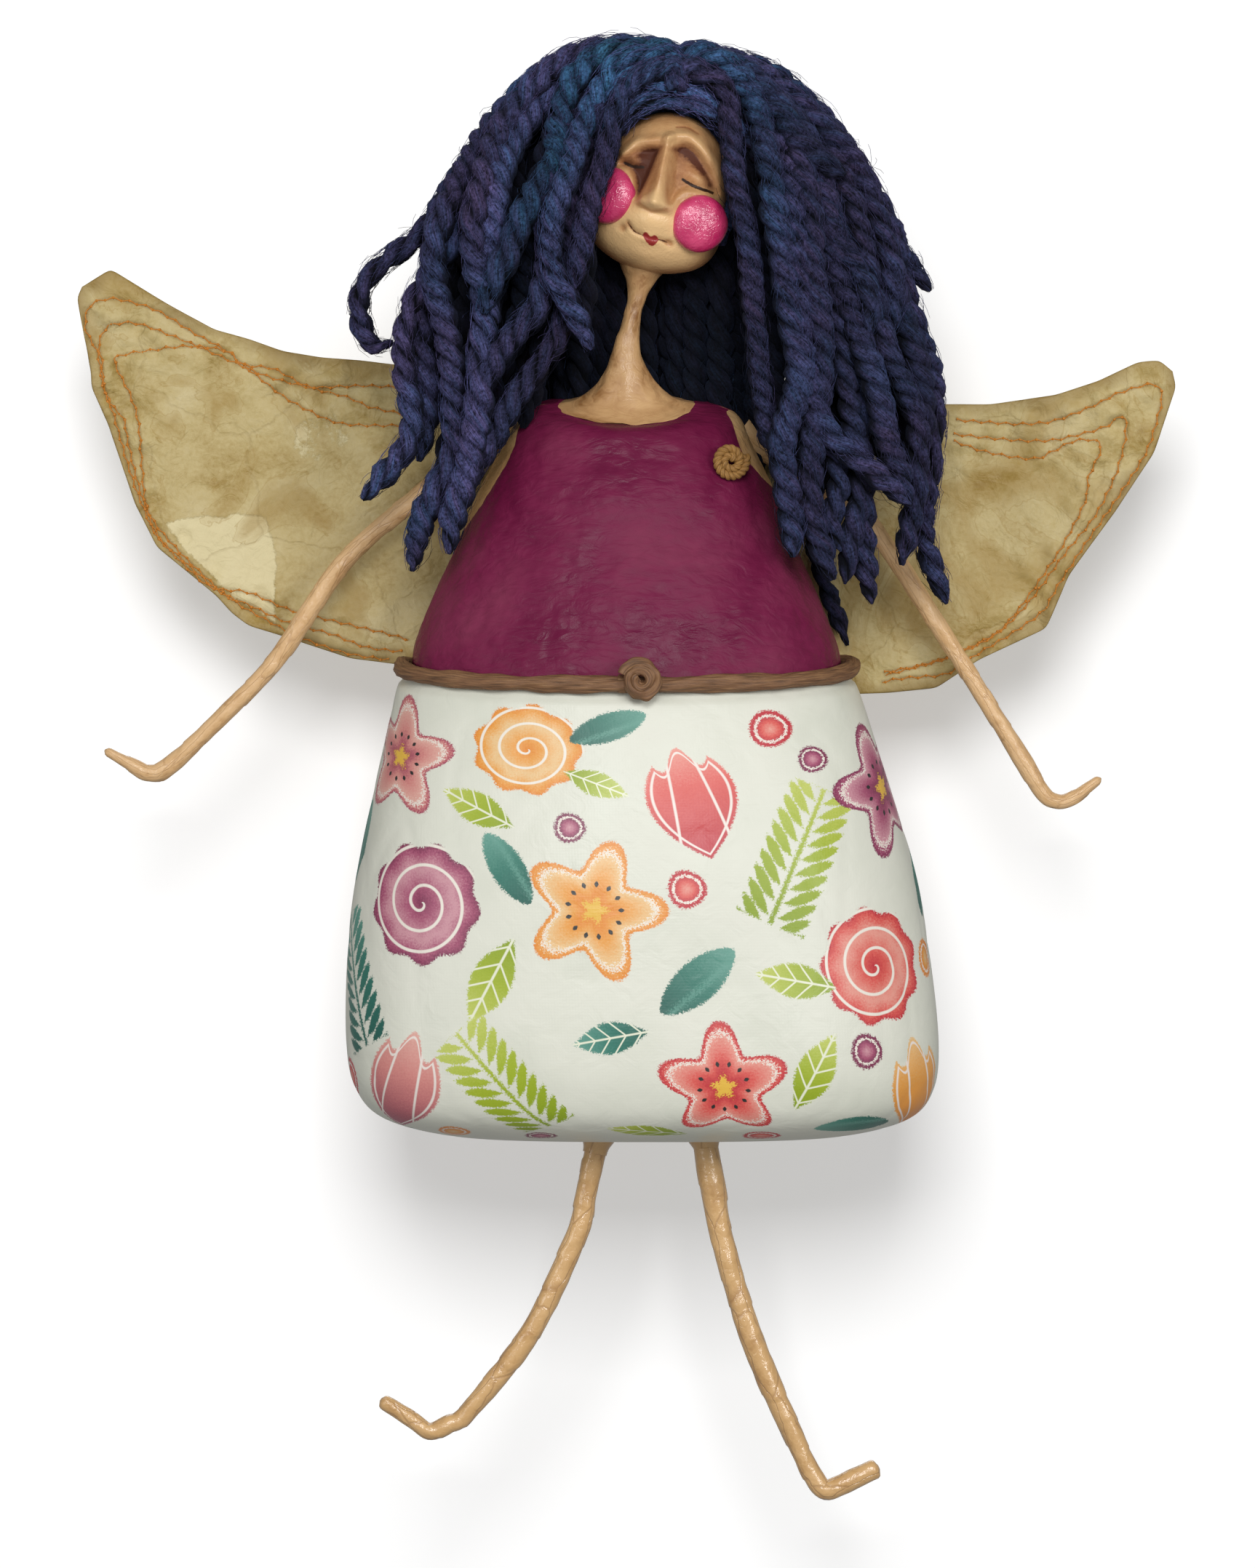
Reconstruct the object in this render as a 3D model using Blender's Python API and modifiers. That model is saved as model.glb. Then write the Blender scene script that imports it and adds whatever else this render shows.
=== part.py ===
"""Papier-mache angel doll: a hollow paper body over a packed core, wire limbs, sewn paper wings and wool hair.

The doll faces -Y and hangs on a wall by the wire loop on its back. The world origin is where the nail
holds that loop. Sizes below are in millimetres, in a frame whose Y axis runs through the neck, and the
"doll" empty carries everything to the loop's place. Left and right are the doll's own.
"""

import math

import bmesh
import bpy
import numpy as np
from mathutils import Euler, Vector
from mathutils.geometry import interpolate_bezier

MM = 0.001
GAP = 0.35

# Body: half width and height down the outer side, then how each section is shaped
BODICE_PROFILE = [
    (20.3, 9.5), (27.0, 8.5), (32.0, 5.0), (36.0, -3.5), (43.8, -18.8), (49.8, -33.4),
    (54.0, -42.5), (58.4, -52.6), (61.2, -59.5), (61.8, -64.4),
]
SKIRT_PROFILE = [
    (61.8, -66.4), (64.4, -69.8), (66.2, -73.0), (71.0, -90.8), (73.6, -101.0), (80.0, -128.0),
    (83.0, -152.5), (84.5, -174.0), (82.4, -187.0), (75.0, -195.2), (57.5, -200.0), (34.0, -201.5),
    (0.0, -201.5),
]
CORE_PROFILE = [
    (0.0, 1.5), (20.0, 0.5), (30.0, -5.0), (40.0, -18.8), (47.5, -33.4), (56.0, -52.6), (58.5, -60.0),
    (60.0, -71.0), (66.0, -85.0), (71.5, -99.0), (79.0, -128.0), (83.6, -172.0), (81.8, -187.0),
    (74.0, -195.2), (34.0, -201.5), (0.0, -201.5),
]
CORE_INSET = 5.2
BODY_STEPS = 24
AXIS_X = -2.8
SKIRT_LEAN = 0.043
FRONT_RATIO = 0.58
BODICE_BACK = 24.0
SKIRT_BACK = 27.0
BACK_POWER = 2.8
BACK_GROW = 30.0
BACK_ROUND = 21.0
WAIST_Z = -65.6
WAIST_SLOPE = {"front": 0.17, "back": 0.04}
WAIST_REACH = 26.0
NECK_DROP = {"front": -7.0, "back": 3.6}
NECK_REACH = 30.0
NECK_HALF, NECK_RIM_Z = BODICE_PROFILE[0]
BODICE_WALL = 2.6
SKIRT_WALL = 2.4
FABRIC_WALL = 0.8

# Neck and head
NECK_PROFILE = [
    (0.0, 56.0), (9.5, 54.0), (7.2, 48.8), (4.7, 45.0), (3.4, 41.0), (2.9, 36.5), (3.4, 30.0),
    (4.8, 23.0), (7.8, 16.5), (12.5, 11.5), (15.5, 9.0), (16.6, 6.6), (16.6, 2.6), (0.0, 2.6),
]
NECK_DEPTH = 0.6
NECK_SHIFT = -1.7
NECK_LEAN = {"by": 5.0, "from": 8.0, "over": 55.0}
NECK_ROUND = {"from": 12.0, "over": 16.0}
NECK_TILT = {"from": 22.0, "over": 14.0}
NECK_WIRE = [(-1.7, 0.0, -28.0), (-1.7, 0.0, 8.0), (0.3, 0.0, 36.0), (2.4, -1.0, 50.0), (4.5, -2.5, 66.0)]
HEAD_CENTRE = Vector((7.0, -4.0, 69.0))
HEAD_TURN = Euler((0.0, math.radians(16.0), math.radians(-6.0)))
HEAD_HALF = (19.0, 16.0, 24.0)
JAW_SPREAD = 0.16
FACE_EDGE = 2.2
NOSE = {"height": 6.0, "top": 17.0, "fade": 8.0, "foot": 4.5, "under": 3.0, "half": 2.3, "spread": 0.05}
NOSE_SLOPE = {"least": 0.45, "from": 12.0, "over": 14.0}
BROW = {"height": 2.0, "v": 11.5, "arch": 0.012, "half": 2.4, "reach": 13.0}
SOCKET = {"depth": 2.6, "u": 8.0, "v": 6.0, "across": 4.4, "up": 3.4}
CHIN = {"height": 1.2, "v": -19.0, "across": 6.0, "up": 4.0}
CHEEK_RADIUS = 8.0
CHEEK_THICK = 5.0
CHEEK_SPLAY = 22.0
CHEEK_PLACES = {"left_cheek": (13.8, -11.5, -4.2), "right_cheek": (-14.4, -11.5, -4.2)}
CAP_HALF = (22.6, 19.8, 27.4)
SCALP_SIZE = 1.04
FACE_OPENING = {"size": (60.0, 40.0, 50.0), "centre": (0.0, -23.0, -9.0)}
NAPE_OPENING = {"size": (60.0, 60.0, 40.0), "centre": (0.0, 0.0, -30.0)}

# Hair: each level is a row of locks one lock's width behind the last
LOCK_RADIUS = 3.6
LEVEL_PITCH = 7.8
FRONT_LEVEL_Y = -27.0
PARTING_X = 11.4
PARTING_HALF = 4.3
CROWN_BACK = {"by": 8.0, "from": 55.0, "over": 50.0}
CROWN_ANGLES = (30.0, 62.0)
CROWN_Z = {"under": 102.0, "over": 110.5}
SIDE_Z = 67.0
HANG_Z = 35.0
LONG_DROP = 20.0
LONG_BEND = 0.55
LOCK_TIP = (0.85, 0.35)
# Each row: level, layer, x beside the head, x beside the neck, x and z of the tip
RIGHT_LOCKS = [
    (0, "under", -14.5, -15.0, -12.7, 25.0), (0, "over", -28.0, -33.0, -54.3, -35.6),
    (1, "under", -21.0, -24.5, -36.3, -0.7), (1, "over", -36.0, -42.0, -63.3, -40.0),
    (2, "under", -23.0, -27.0, -42.0, -2.0), (2, "over", -44.0, -52.0, -66.0, -12.0),
    (3, "under", -25.0, -30.0, -46.0, 4.0), (3, "over", -50.0, -60.0, -77.9, -18.7),
    (4, "under", -27.0, -33.0, -48.0, 8.0), (4, "over", -53.0, -64.0, -69.0, 4.0),
    (5, "over", -57.0, -79.0, -75.5, 23.0),
]
LEFT_LOCKS = [
    (0, "under", 34.0, 37.0, 44.6, -33.4), (0, "over", 48.0, 54.0, 58.1, -42.4),
    (1, "under", 37.0, 41.0, 50.0, -20.0), (1, "over", 54.0, 61.0, 64.9, -47.5),
    (2, "under", 39.0, 44.0, 53.0, -8.0), (2, "over", 60.0, 69.0, 79.5, -43.5),
    (3, "under", 41.0, 46.0, 55.0, 0.0), (3, "over", 66.0, 77.0, 88.5, -46.9),
    (4, "under", 42.0, 48.0, 57.0, 6.0), (4, "over", 69.0, 82.0, 86.0, -14.0),
    (5, "over", 67.0, 82.5, 86.0, 30.0),
]
BACK_LOCK_X = (-10.5, -2.0, 6.5, 15.0, 23.5)
BACK_LOCK_Y = 21.4
BACK_LOCK_Z = (84.0, 21.0)

# Limbs: x and z along each centre line from its pivot, and the radius at its root, wrist and tip
LIMB_Y = 12.0
LIMB_ROUTES = {
    "right_arm": [
        (-41.0, -1.0), (-58.6, -13.4), (-84.3, -35.7), (-104.1, -64.2), (-123.3, -83.9),
        (-135.5, -95.0), (-140.6, -96.6), (-145.0, -94.6), (-153.3, -89.9),
    ],
    "left_arm": [
        (37.5, -4.0), (52.0, -14.0), (67.4, -25.0), (89.3, -57.6), (108.7, -88.7), (116.4, -101.4),
        (120.6, -104.6), (125.4, -103.9), (133.9, -98.0),
    ],
    "right_leg": [
        (-12.9, -209.6), (-14.6, -217.5), (-17.3, -229.3), (-30.5, -257.0), (-48.4, -279.7),
        (-55.4, -284.0), (-60.2, -284.2), (-65.2, -281.2), (-73.4, -276.2),
    ],
    "left_leg": [
        (20.9, -209.9), (22.3, -218.0), (25.2, -232.4), (33.2, -259.5), (45.1, -286.8),
        (50.2, -298.0), (54.0, -301.5), (59.4, -300.2), (69.5, -295.6),
    ],
}
ARM_RADII = (2.9, 2.5, 1.5)
LEG_RADII = (3.4, 2.7, 2.1)
LEG_Y = 0.0
DOME_ANGLES = (0.25, 0.75, 1.2)
TIP_NOSE = 0.6
TIP_ROUND = (0.92, 0.45)
WRIST_POINTS = 6
BARE_TIP_POINTS = 4
WIRE_RADIUS = 0.9
BORE_RADIUS = 1.3
BORE_SPARE = 0.8
LEG_COLLAR_FOOT = 5.2
ARM_COLLAR_FOOT = 5.4
ARM_COLLAR_LENGTH = 9.0
COLLAR_WAIST = (1.1, 0.45)
SHOULDER_INSET = 14.0
HIP_WIRE_TOP = -172.0
HIP_WIRE_CORNER = 5.0

# Wings: outline from the card's edge along the top to the tip and back underneath
WING_FRONT_Y = 24.5
WING_THICK = 1.6
WING_HINGE_X = 24.0
WING_OUTLINES = {
    "right_wing": [
        (-24.3, 6.0), (-45.0, 17.0), (-69.5, 20.9), (-92.4, 22.5), (-107.4, 26.7), (-120.6, 30.7),
        (-135.4, 39.4), (-150.6, 48.0), (-160.6, 40.7), (-156.9, 17.9), (-150.2, 1.5),
        (-142.9, -17.5), (-137.1, -31.9), (-123.9, -42.3), (-110.6, -55.5), (-93.2, -60.1),
        (-70.3, -65.2), (-58.0, -66.0), (-51.0, -60.0), (-45.0, -51.0), (-24.3, -47.0),
    ],
    "left_wing": [
        (24.3, 4.0), (48.0, 9.0), (70.0, 9.2), (91.8, 9.2), (101.4, 9.2), (120.2, 11.9),
        (132.3, 15.9), (143.7, 21.3), (150.6, 21.7), (154.6, 14.0), (148.9, -4.4), (137.0, -21.9),
        (124.1, -39.6), (116.8, -55.1), (98.3, -64.0), (85.9, -72.2), (72.0, -73.6), (60.0, -74.0),
        (52.0, -66.0), (45.0, -51.0), (24.3, -47.0),
    ],
}
WING_ROOT_HALF = 23.6
WING_ROOT_Z = (-52.0, 4.0)
CARD_HALF = 21.0
CARD_THICK = 3.0
CARD_Z = (-50.0, -4.0)
LOOP_WIRE = 0.7
LOOP_HALF = 5.0
LOOP_HEIGHT = 13.0
LOOP_DEPTH = 9.0

# Belt and rosettes
BELT_RADIUS = 2.35
BELT_HALF_WIDTH = 61.9
BELT_OPENING = 0.10
BELT_ROSETTE = {"cord": 1.9, "pitch": 4.45, "turns": 1.25, "x": 1.5, "z": -72.0, "lift": 3.1}
COIL_START = 0.35
CHEST_ROSETTE = {"cord": 1.15, "pitch": 2.8, "turns": 1.4, "x": 27.3, "z": -7.5, "lift": 1.6}

LOOP_TOP = CARD_Z[1] + LOOP_HEIGHT - LOOP_WIRE
CARD_FRONT_Y = WING_FRONT_Y + WING_THICK + GAP
LOOP_Y = CARD_FRONT_Y + CARD_THICK / 2

for old in list(bpy.data.objects):
    bpy.data.objects.remove(old, do_unlink=True)

parts = bpy.data.collections.new("papier_mache_angel_doll")
cutters = bpy.data.collections.new("cutters")
bpy.context.scene.collection.children.link(parts)
bpy.context.scene.collection.children.link(cutters)

doll = bpy.data.objects.new("doll", None)
doll.location = Vector((0.0, -LOOP_Y, -LOOP_TOP)) * MM
parts.objects.link(doll)


def material(name, colour, roughness, metallic=0.0):
    """A plain Principled material of this colour."""
    made = bpy.data.materials.new(name)
    made.use_nodes = True
    shader = made.node_tree.nodes["Principled BSDF"]
    shader.inputs["Base Color"].default_value = (*colour, 1.0)
    shader.inputs["Roughness"].default_value = roughness
    shader.inputs["Metallic"].default_value = metallic
    return made


BURGUNDY = material("burgundy_varnish", (0.14, 0.014, 0.055), 0.3)
COTTON = material("printed_cotton", (0.85, 0.82, 0.78), 0.5)
MACHE = material("raw_papier_mache", (0.55, 0.5, 0.42), 0.9)
NEWSPRINT = material("packed_newspaper", (0.45, 0.43, 0.4), 0.95)
SKIN = material("skin_paint", (0.7, 0.47, 0.24), 0.4)
FACE = material("face_paint", (0.55, 0.36, 0.18), 0.35)
PINK = material("pink_gloss", (0.5, 0.02, 0.12), 0.2)
WOOL = material("indigo_wool", (0.03, 0.035, 0.09), 0.9)
PARCHMENT = material("stained_paper", (0.5, 0.43, 0.23), 0.7)
CARD = material("grey_card", (0.5, 0.47, 0.4), 0.8)
TWINE = material("brown_paper_cord", (0.2, 0.1, 0.045), 0.6)
OCHRE = material("ochre_paper_cord", (0.32, 0.17, 0.05), 0.7)
STEEL = material("soft_steel_wire", (0.5, 0.5, 0.5), 0.4, 1.0)


def smoothstep(value):
    """0 below 0, 1 above 1 and an even S between."""
    t = np.clip(value, 0.0, 1.0)
    return t * t * (3.0 - 2.0 * t)


def smooth_points(points, per_span):
    """Points on a smooth curve through the given ones, as vectors."""
    given = [Vector(p) for p in points]
    ends = [2 * given[0] - given[1]] + given + [2 * given[-1] - given[-2]]
    found = [given[0]]
    for before, start, stop, after in zip(ends, ends[1:], ends[2:], ends[3:]):
        ahead = start + (stop - before) / 6
        behind = stop - (after - start) / 6
        found += interpolate_bezier(start, ahead, behind, stop, per_span + 1)[1:]
    return found


def add_object(name, data, skin, parent=doll, origin=(0.0, 0.0, 0.0)):
    """A piece of the doll, whose data is measured from its origin."""
    made = bpy.data.objects.new(name, data)
    made.parent = parent
    made.location = Vector(origin) * MM
    if skin is None:
        cutters.objects.link(made)
        made.hide_render = True
        made.display_type = "WIRE"
    else:
        parts.objects.link(made)
        data.materials.append(skin)
    return made


def as_mesh(obj):
    """The object's evaluated mesh, welded, in place of its own data and modifiers."""
    bpy.context.view_layer.update()
    graph = bpy.context.evaluated_depsgraph_get()
    mesh = bpy.data.meshes.new_from_object(obj.evaluated_get(graph))
    work = bmesh.new()
    work.from_mesh(mesh)
    bmesh.ops.remove_doubles(work, verts=work.verts, dist=0.00002)
    bmesh.ops.recalc_face_normals(work, faces=work.faces)
    work.to_mesh(mesh)
    work.free()
    name = obj.name
    skin = obj.data.materials[0] if obj.data.materials else None
    origin = obj.location / MM
    parent = obj.parent
    turn = obj.rotation_euler.copy()
    bpy.data.objects.remove(obj, do_unlink=True)
    mesh.materials.clear()
    made = add_object(name, mesh, skin, parent, origin)
    made.rotation_euler = turn
    mesh.shade_smooth()
    return made


def tube(name, points, radii, skin, origin=(0.0, 0.0, 0.0), sides=8, parent=doll):
    """A round tube along the points, with the radius that each one has."""
    curve = bpy.data.curves.new(name, "CURVE")
    curve.dimensions = "3D"
    curve.bevel_depth = MM
    curve.bevel_resolution = (sides - 4) // 2
    curve.use_fill_caps = True
    spline = curve.splines.new("POLY")
    spline.points.add(len(points) - 1)
    for place, point, radius in zip(spline.points, points, radii):
        place.co = (*((Vector(point) - Vector(origin)) * MM), 1.0)
        place.radius = radius
    spline.use_smooth = True
    return add_object(name, curve, skin, parent, origin)


def cut(target, cutter):
    """Takes the cutter out of the target."""
    boolean = target.modifiers.new("cut_" + cutter.name, "BOOLEAN")
    boolean.operation = "DIFFERENCE"
    boolean.solver = "EXACT"
    boolean.object = cutter


def half_depths(half_width, z):
    """How far a section of this half width reaches to the front and to the back."""
    back = BODICE_BACK + (SKIRT_BACK - BODICE_BACK) * smoothstep((WAIST_Z - z) / BACK_GROW)
    return FRONT_RATIO * half_width, back * np.tanh(half_width / BACK_ROUND)


def section_point(half_width, z, angle):
    """A point of the body's section: elliptical in front, flatter behind."""
    front, back = half_depths(half_width, z)
    c = np.cos(angle)
    s = np.sin(angle)
    power = np.where(s > 0.0, 2.0 / BACK_POWER, 1.0)
    x = half_width * np.sign(c) * np.abs(c) ** power
    y = np.where(s > 0.0, back, -front) * np.abs(s) ** power
    slope = np.where(s > 0.0, WAIST_SLOPE["back"], WAIST_SLOPE["front"])
    waist = slope * y * np.exp(-(((z - WAIST_Z) / WAIST_REACH) ** 2))
    drop = np.where(s > 0.0, NECK_DROP["back"], NECK_DROP["front"]) * np.abs(s) ** power
    drop = drop * np.minimum(half_width / NECK_HALF, 1.0)
    neckline = drop * smoothstep(1.0 + (z - NECK_RIM_Z) / NECK_REACH)
    lean = AXIS_X + SKIRT_LEAN * np.maximum(0.0, WAIST_Z - z)
    return np.stack([x + lean, y, z + waist + neckline], axis=-1)


def turned(name, profile, skin, steps):
    """A profile turned about Z, as a mesh."""
    mesh = bpy.data.meshes.new(name)
    work = bmesh.new()
    ring = [work.verts.new((r * MM, 0.0, z * MM)) for r, z in profile]
    for first, second in zip(ring, ring[1:]):
        work.edges.new((first, second))
    work.to_mesh(mesh)
    work.free()
    obj = add_object(name, mesh, skin)
    screw = obj.modifiers.new("turn", "SCREW")
    screw.steps = screw.render_steps = steps
    screw.use_merge_vertices = True
    screw.merge_threshold = 0.00001
    return as_mesh(obj)


def move_points(obj, place):
    """Moves every point of the mesh to place(x, y, z), in millimetres."""
    mesh = obj.data
    points = np.empty(len(mesh.vertices) * 3, np.float32)
    mesh.vertices.foreach_get("co", points)
    x, y, z = points.reshape(-1, 3).T.astype(float) / MM
    moved = np.asarray(place(x, y, z)) * MM
    mesh.vertices.foreach_set("co", moved.astype(np.float32).ravel())
    mesh.update()


def body_surface(name, profile, skin):
    """The body's surface down a profile, with its real sections."""
    obj = turned(name, profile, skin, BODY_STEPS)
    move_points(obj, lambda x, y, z: section_point(np.hypot(x, y), z, np.arctan2(y, x)))
    return obj


def inset(obj, depth):
    """Moves the surface inwards by a depth."""
    displace = obj.modifiers.new("inset", "DISPLACE")
    displace.mid_level = 0.0
    displace.strength = -depth * MM


def wall(obj, thickness):
    """Gives an open surface a wall on its inner side."""
    solidify = obj.modifiers.new("wall", "SOLIDIFY")
    solidify.thickness = thickness * MM
    solidify.offset = -1.0
    solidify.use_even_offset = True


def pivot_of(limb):
    """Where a limb bends at its root."""
    x, z = LIMB_ROUTES[limb][0]
    return Vector((x, LIMB_Y if limb.endswith("arm") else LEG_Y, z))


def limb_line(limb, per_span):
    """The limb's centre line, from its pivot to its tip."""
    depth = pivot_of(limb).y
    return smooth_points([(x, depth, z) for x, z in LIMB_ROUTES[limb]], per_span)


def bore(name, points, radius=BORE_RADIUS):
    """A cutter along a wire's route."""
    return as_mesh(tube("cut_" + name, points, [radius] * len(points), None))


def make_limb(limb):
    """A paper-wrapped limb with a round root on its pivot, and the wire inside it."""
    root, wrist, tip = ARM_RADII if limb.endswith("arm") else LEG_RADII
    line = limb_line(limb, 2)
    pivot = line[0]
    along = (line[1] - pivot).normalized()
    dome = [pivot - along * root * math.cos(a) for a in DOME_ANGLES]
    dome_radii = [root * math.sin(a) for a in DOME_ANGLES]
    bend = len(line) - WRIST_POINTS
    radii = [np.interp(i, (0, bend, len(line) - 2), (root, wrist, tip)) for i in range(len(line))]
    nose = [line[-1] + (line[-1] - line[-2]).normalized() * tip * TIP_NOSE]
    radii[-1] = tip * TIP_ROUND[0]
    body = tube(limb, dome + line + nose, dome_radii + radii + [tip * TIP_ROUND[1]], SKIN, pivot)
    body = as_mesh(body)
    core = line[1:-BARE_TIP_POINTS]
    channel = bore(limb, [pivot - along * (root + BORE_SPARE), pivot] + core)
    cut(body, channel)
    tube(limb + "_wire", core[:-1], [WIRE_RADIUS] * (len(core) - 1), STEEL, pivot)


def make_body():
    """The shells of bodice and skirt, the glued fabric and the packed core."""
    bodice = body_surface("bodice_shell", BODICE_PROFILE, BURGUNDY)
    wall(bodice, BODICE_WALL)
    fabric = body_surface("skirt_fabric", SKIRT_PROFILE, COTTON)
    wall(fabric, FABRIC_WALL)
    skirt = body_surface("skirt_shell", SKIRT_PROFILE, MACHE)
    inset(skirt, FABRIC_WALL + GAP)
    wall(skirt, SKIRT_WALL)
    core = body_surface("paper_core", CORE_PROFILE, NEWSPRINT)
    inset(core, CORE_INSET)

    ends = [pivot_of(name) for name in ("right_arm", "left_arm")]
    inner = [Vector((p.x - math.copysign(SHOULDER_INSET, p.x), LIMB_Y, p.z)) for p in ends]
    reach = [p - Vector((math.copysign(ARM_RADII[0] + GAP, p.x), 0, 0)) for p in ends]
    route = [reach[0]] + inner + [reach[1]]
    tube("shoulder_wire", route, [WIRE_RADIUS] * 4, STEEL)
    channel = bore("shoulder_wire", ends[:1] + inner + ends[1:])
    cut(core, channel)
    cut(bodice, channel)

    hips = [pivot_of(name) for name in ("right_leg", "left_leg")]
    feet = [p + Vector((0, 0, LEG_RADII[0] + GAP)) for p in hips]
    tops = [Vector((p.x, p.y, HIP_WIRE_TOP)) for p in hips]
    corners = [p - Vector((0, 0, HIP_WIRE_CORNER)) for p in tops]
    inward = [p - Vector((math.copysign(HIP_WIRE_CORNER, p.x), 0, 0)) for p in tops]
    middle = [corners[0], inward[0], inward[1], corners[1]]
    tube("hip_wire", [feet[0]] + middle + [feet[1]], [WIRE_RADIUS] * 6, STEEL)
    channel = bore("hip_wire", [hips[0]] + middle + [hips[1]])
    for piece in (core, skirt, fabric):
        cut(piece, channel)
    return core


def make_collars():
    """Paper fillets between the body and the root of each limb."""
    closed = [(0.0, NECK_RIM_Z)] + BODICE_PROFILE + [(0.0, BODICE_PROFILE[-1][1])]
    outside = body_surface("cut_bodice_outside", closed, None)
    inset(outside, -GAP)
    for limb in LIMB_ROUTES:
        arm = limb.endswith("arm")
        pivot = pivot_of(limb)
        root = ARM_RADII[0] if arm else LEG_RADII[0]
        foot = ARM_COLLAR_FOOT if arm else LEG_COLLAR_FOOT
        start = root + GAP
        length = ARM_COLLAR_LENGTH if arm else SKIRT_PROFILE[-1][1] - GAP - (pivot.z + start)
        neck = (root * COLLAR_WAIST[0], start + length * COLLAR_WAIST[1])
        flare = [(0.0, start + length), (foot, start + length), neck, (root, start), (0.0, start)]
        name = limb.replace("arm", "shoulder") + "_collar"
        collar = turned(name, flare, SKIN if arm else COTTON, 16)
        collar.location = pivot * MM
        if arm:
            collar.rotation_euler = (0.0, math.copysign(math.pi / 2, -pivot.x), 0.0)
            cut(collar, outside)
            cut(collar, bpy.data.objects["cut_shoulder_wire"])
        else:
            cut(collar, bpy.data.objects["cut_hip_wire"])


def face_relief(u, v):
    """How far the face stands proud of the egg at u across and v up."""
    ridge = smoothstep((NOSE["top"] - v) / NOSE["fade"]) * smoothstep((v + NOSE["foot"]) / NOSE["under"])
    least = NOSE_SLOPE["least"]
    slope = least + (1.0 - least) * smoothstep((NOSE_SLOPE["from"] - v) / NOSE_SLOPE["over"])
    half = NOSE["half"] + NOSE["spread"] * (NOSE_SLOPE["from"] - v)
    nose = NOSE["height"] * ridge * slope * np.exp(-((u / half) ** 2))
    arch = (v - BROW["v"] + BROW["arch"] * u * u) / BROW["half"]
    brow = BROW["height"] * np.exp(-(arch ** 2) - (u / BROW["reach"]) ** 4)
    eye = ((np.abs(u) - SOCKET["u"]) / SOCKET["across"]) ** 2 + ((v - SOCKET["v"]) / SOCKET["up"]) ** 2
    chin = CHIN["height"] * np.exp(-((u / CHIN["across"]) ** 2) - ((v - CHIN["v"]) / CHIN["up"]) ** 2)
    return nose + brow + chin - SOCKET["depth"] * np.exp(-eye)


def head_egg(x, y, z):
    """A unit ball as the head's egg, broader in the jaw."""
    a, b, c = HEAD_HALF
    return np.stack([x * a * (1.0 - JAW_SPREAD * z), y * b, z * c], axis=-1)


def head_surface(x, y, z):
    """The egg with the face on its front."""
    egg = head_egg(x, y, z)
    egg[..., 1] -= smoothstep(-FACE_EDGE * y) * face_relief(egg[..., 0], egg[..., 2])
    return egg


def make_head():
    """The head with its face, the cheeks, the wig cap and the neck that carries them."""
    def sphere(name, skin, across, up):
        mesh = bpy.data.meshes.new(name)
        work = bmesh.new()
        bmesh.ops.create_uvsphere(work, u_segments=across, v_segments=up, radius=MM)
        work.to_mesh(mesh)
        work.free()
        mesh.shade_smooth()
        obj = add_object(name, mesh, skin, doll, HEAD_CENTRE)
        obj.rotation_euler = HEAD_TURN
        return obj

    def box(name, opening):
        obj = sphere(name, None, 4, 3)
        work = bmesh.new()
        corners = bmesh.ops.create_cube(work, size=MM)["verts"]
        bmesh.ops.scale(work, vec=opening["size"], verts=corners)
        bmesh.ops.translate(work, vec=Vector(opening["centre"]) * MM, verts=corners)
        work.to_mesh(obj.data)
        work.free()
        return obj

    head = sphere("head", FACE, 28, 20)
    move_points(head, head_surface)
    around = sphere("cut_head", None, 28, 20)
    move_points(around, head_surface)
    inset(around, -GAP)

    cap = sphere("wig_cap", WOOL, 20, 12)
    move_points(cap, lambda x, y, z: np.stack([a * h for a, h in zip((x, y, z), CAP_HALF)], axis=-1))
    scalp = sphere("cut_scalp", None, 20, 12)
    move_points(scalp, lambda x, y, z: head_egg(x, y, z) * SCALP_SIZE)
    cut(cap, scalp)
    cut(cap, box("cut_face_opening", FACE_OPENING))
    cut(cap, box("cut_nape_opening", NAPE_OPENING))

    for name, place in CHEEK_PLACES.items():
        mesh = bpy.data.meshes.new(name)
        work = bmesh.new()
        bmesh.ops.create_uvsphere(work, u_segments=14, v_segments=8, radius=MM)
        bmesh.ops.scale(work, vec=(CHEEK_RADIUS, CHEEK_THICK, CHEEK_RADIUS), verts=work.verts)
        work.to_mesh(mesh)
        work.free()
        mesh.shade_smooth()
        cheek = add_object(name, mesh, PINK, head, place)
        cheek.rotation_euler = (0.0, 0.0, math.copysign(math.radians(CHEEK_SPLAY), place[0]))
        cut(cheek, around)

    neck = turned("neck_yoke", NECK_PROFILE, SKIN, 20)
    move_points(neck, neck_surface)
    cut(neck, around)
    return head, neck


def neck_surface(x, y, z):
    """A point of the turned neck, leaned to the head and flattened at the shoulders."""
    lean = NECK_LEAN["by"] * smoothstep((z - NECK_LEAN["from"]) / NECK_LEAN["over"])
    depth = NECK_DEPTH + (1.0 - NECK_DEPTH) * smoothstep((z - NECK_ROUND["from"]) / NECK_ROUND["over"])
    slope = np.where(y > 0.0, NECK_DROP["back"], -NECK_DROP["front"]) / NECK_HALF
    tilt = slope * y * smoothstep((NECK_TILT["from"] - z) / NECK_TILT["over"])
    return np.stack([x + NECK_SHIFT + lean, y * depth, z + tilt], axis=-1)


def make_neck_wire(pieces):
    """The wire from the core through the neck into the head."""
    line = smooth_points(NECK_WIRE, 2)
    tube("neck_wire", line, [WIRE_RADIUS] * len(line), STEEL)
    spare = Vector((0, 0, BORE_SPARE))
    channel = bore("neck_wire", [line[0] - spare] + line + [line[-1] + spare])
    for piece in pieces:
        cut(piece, channel)


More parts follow.
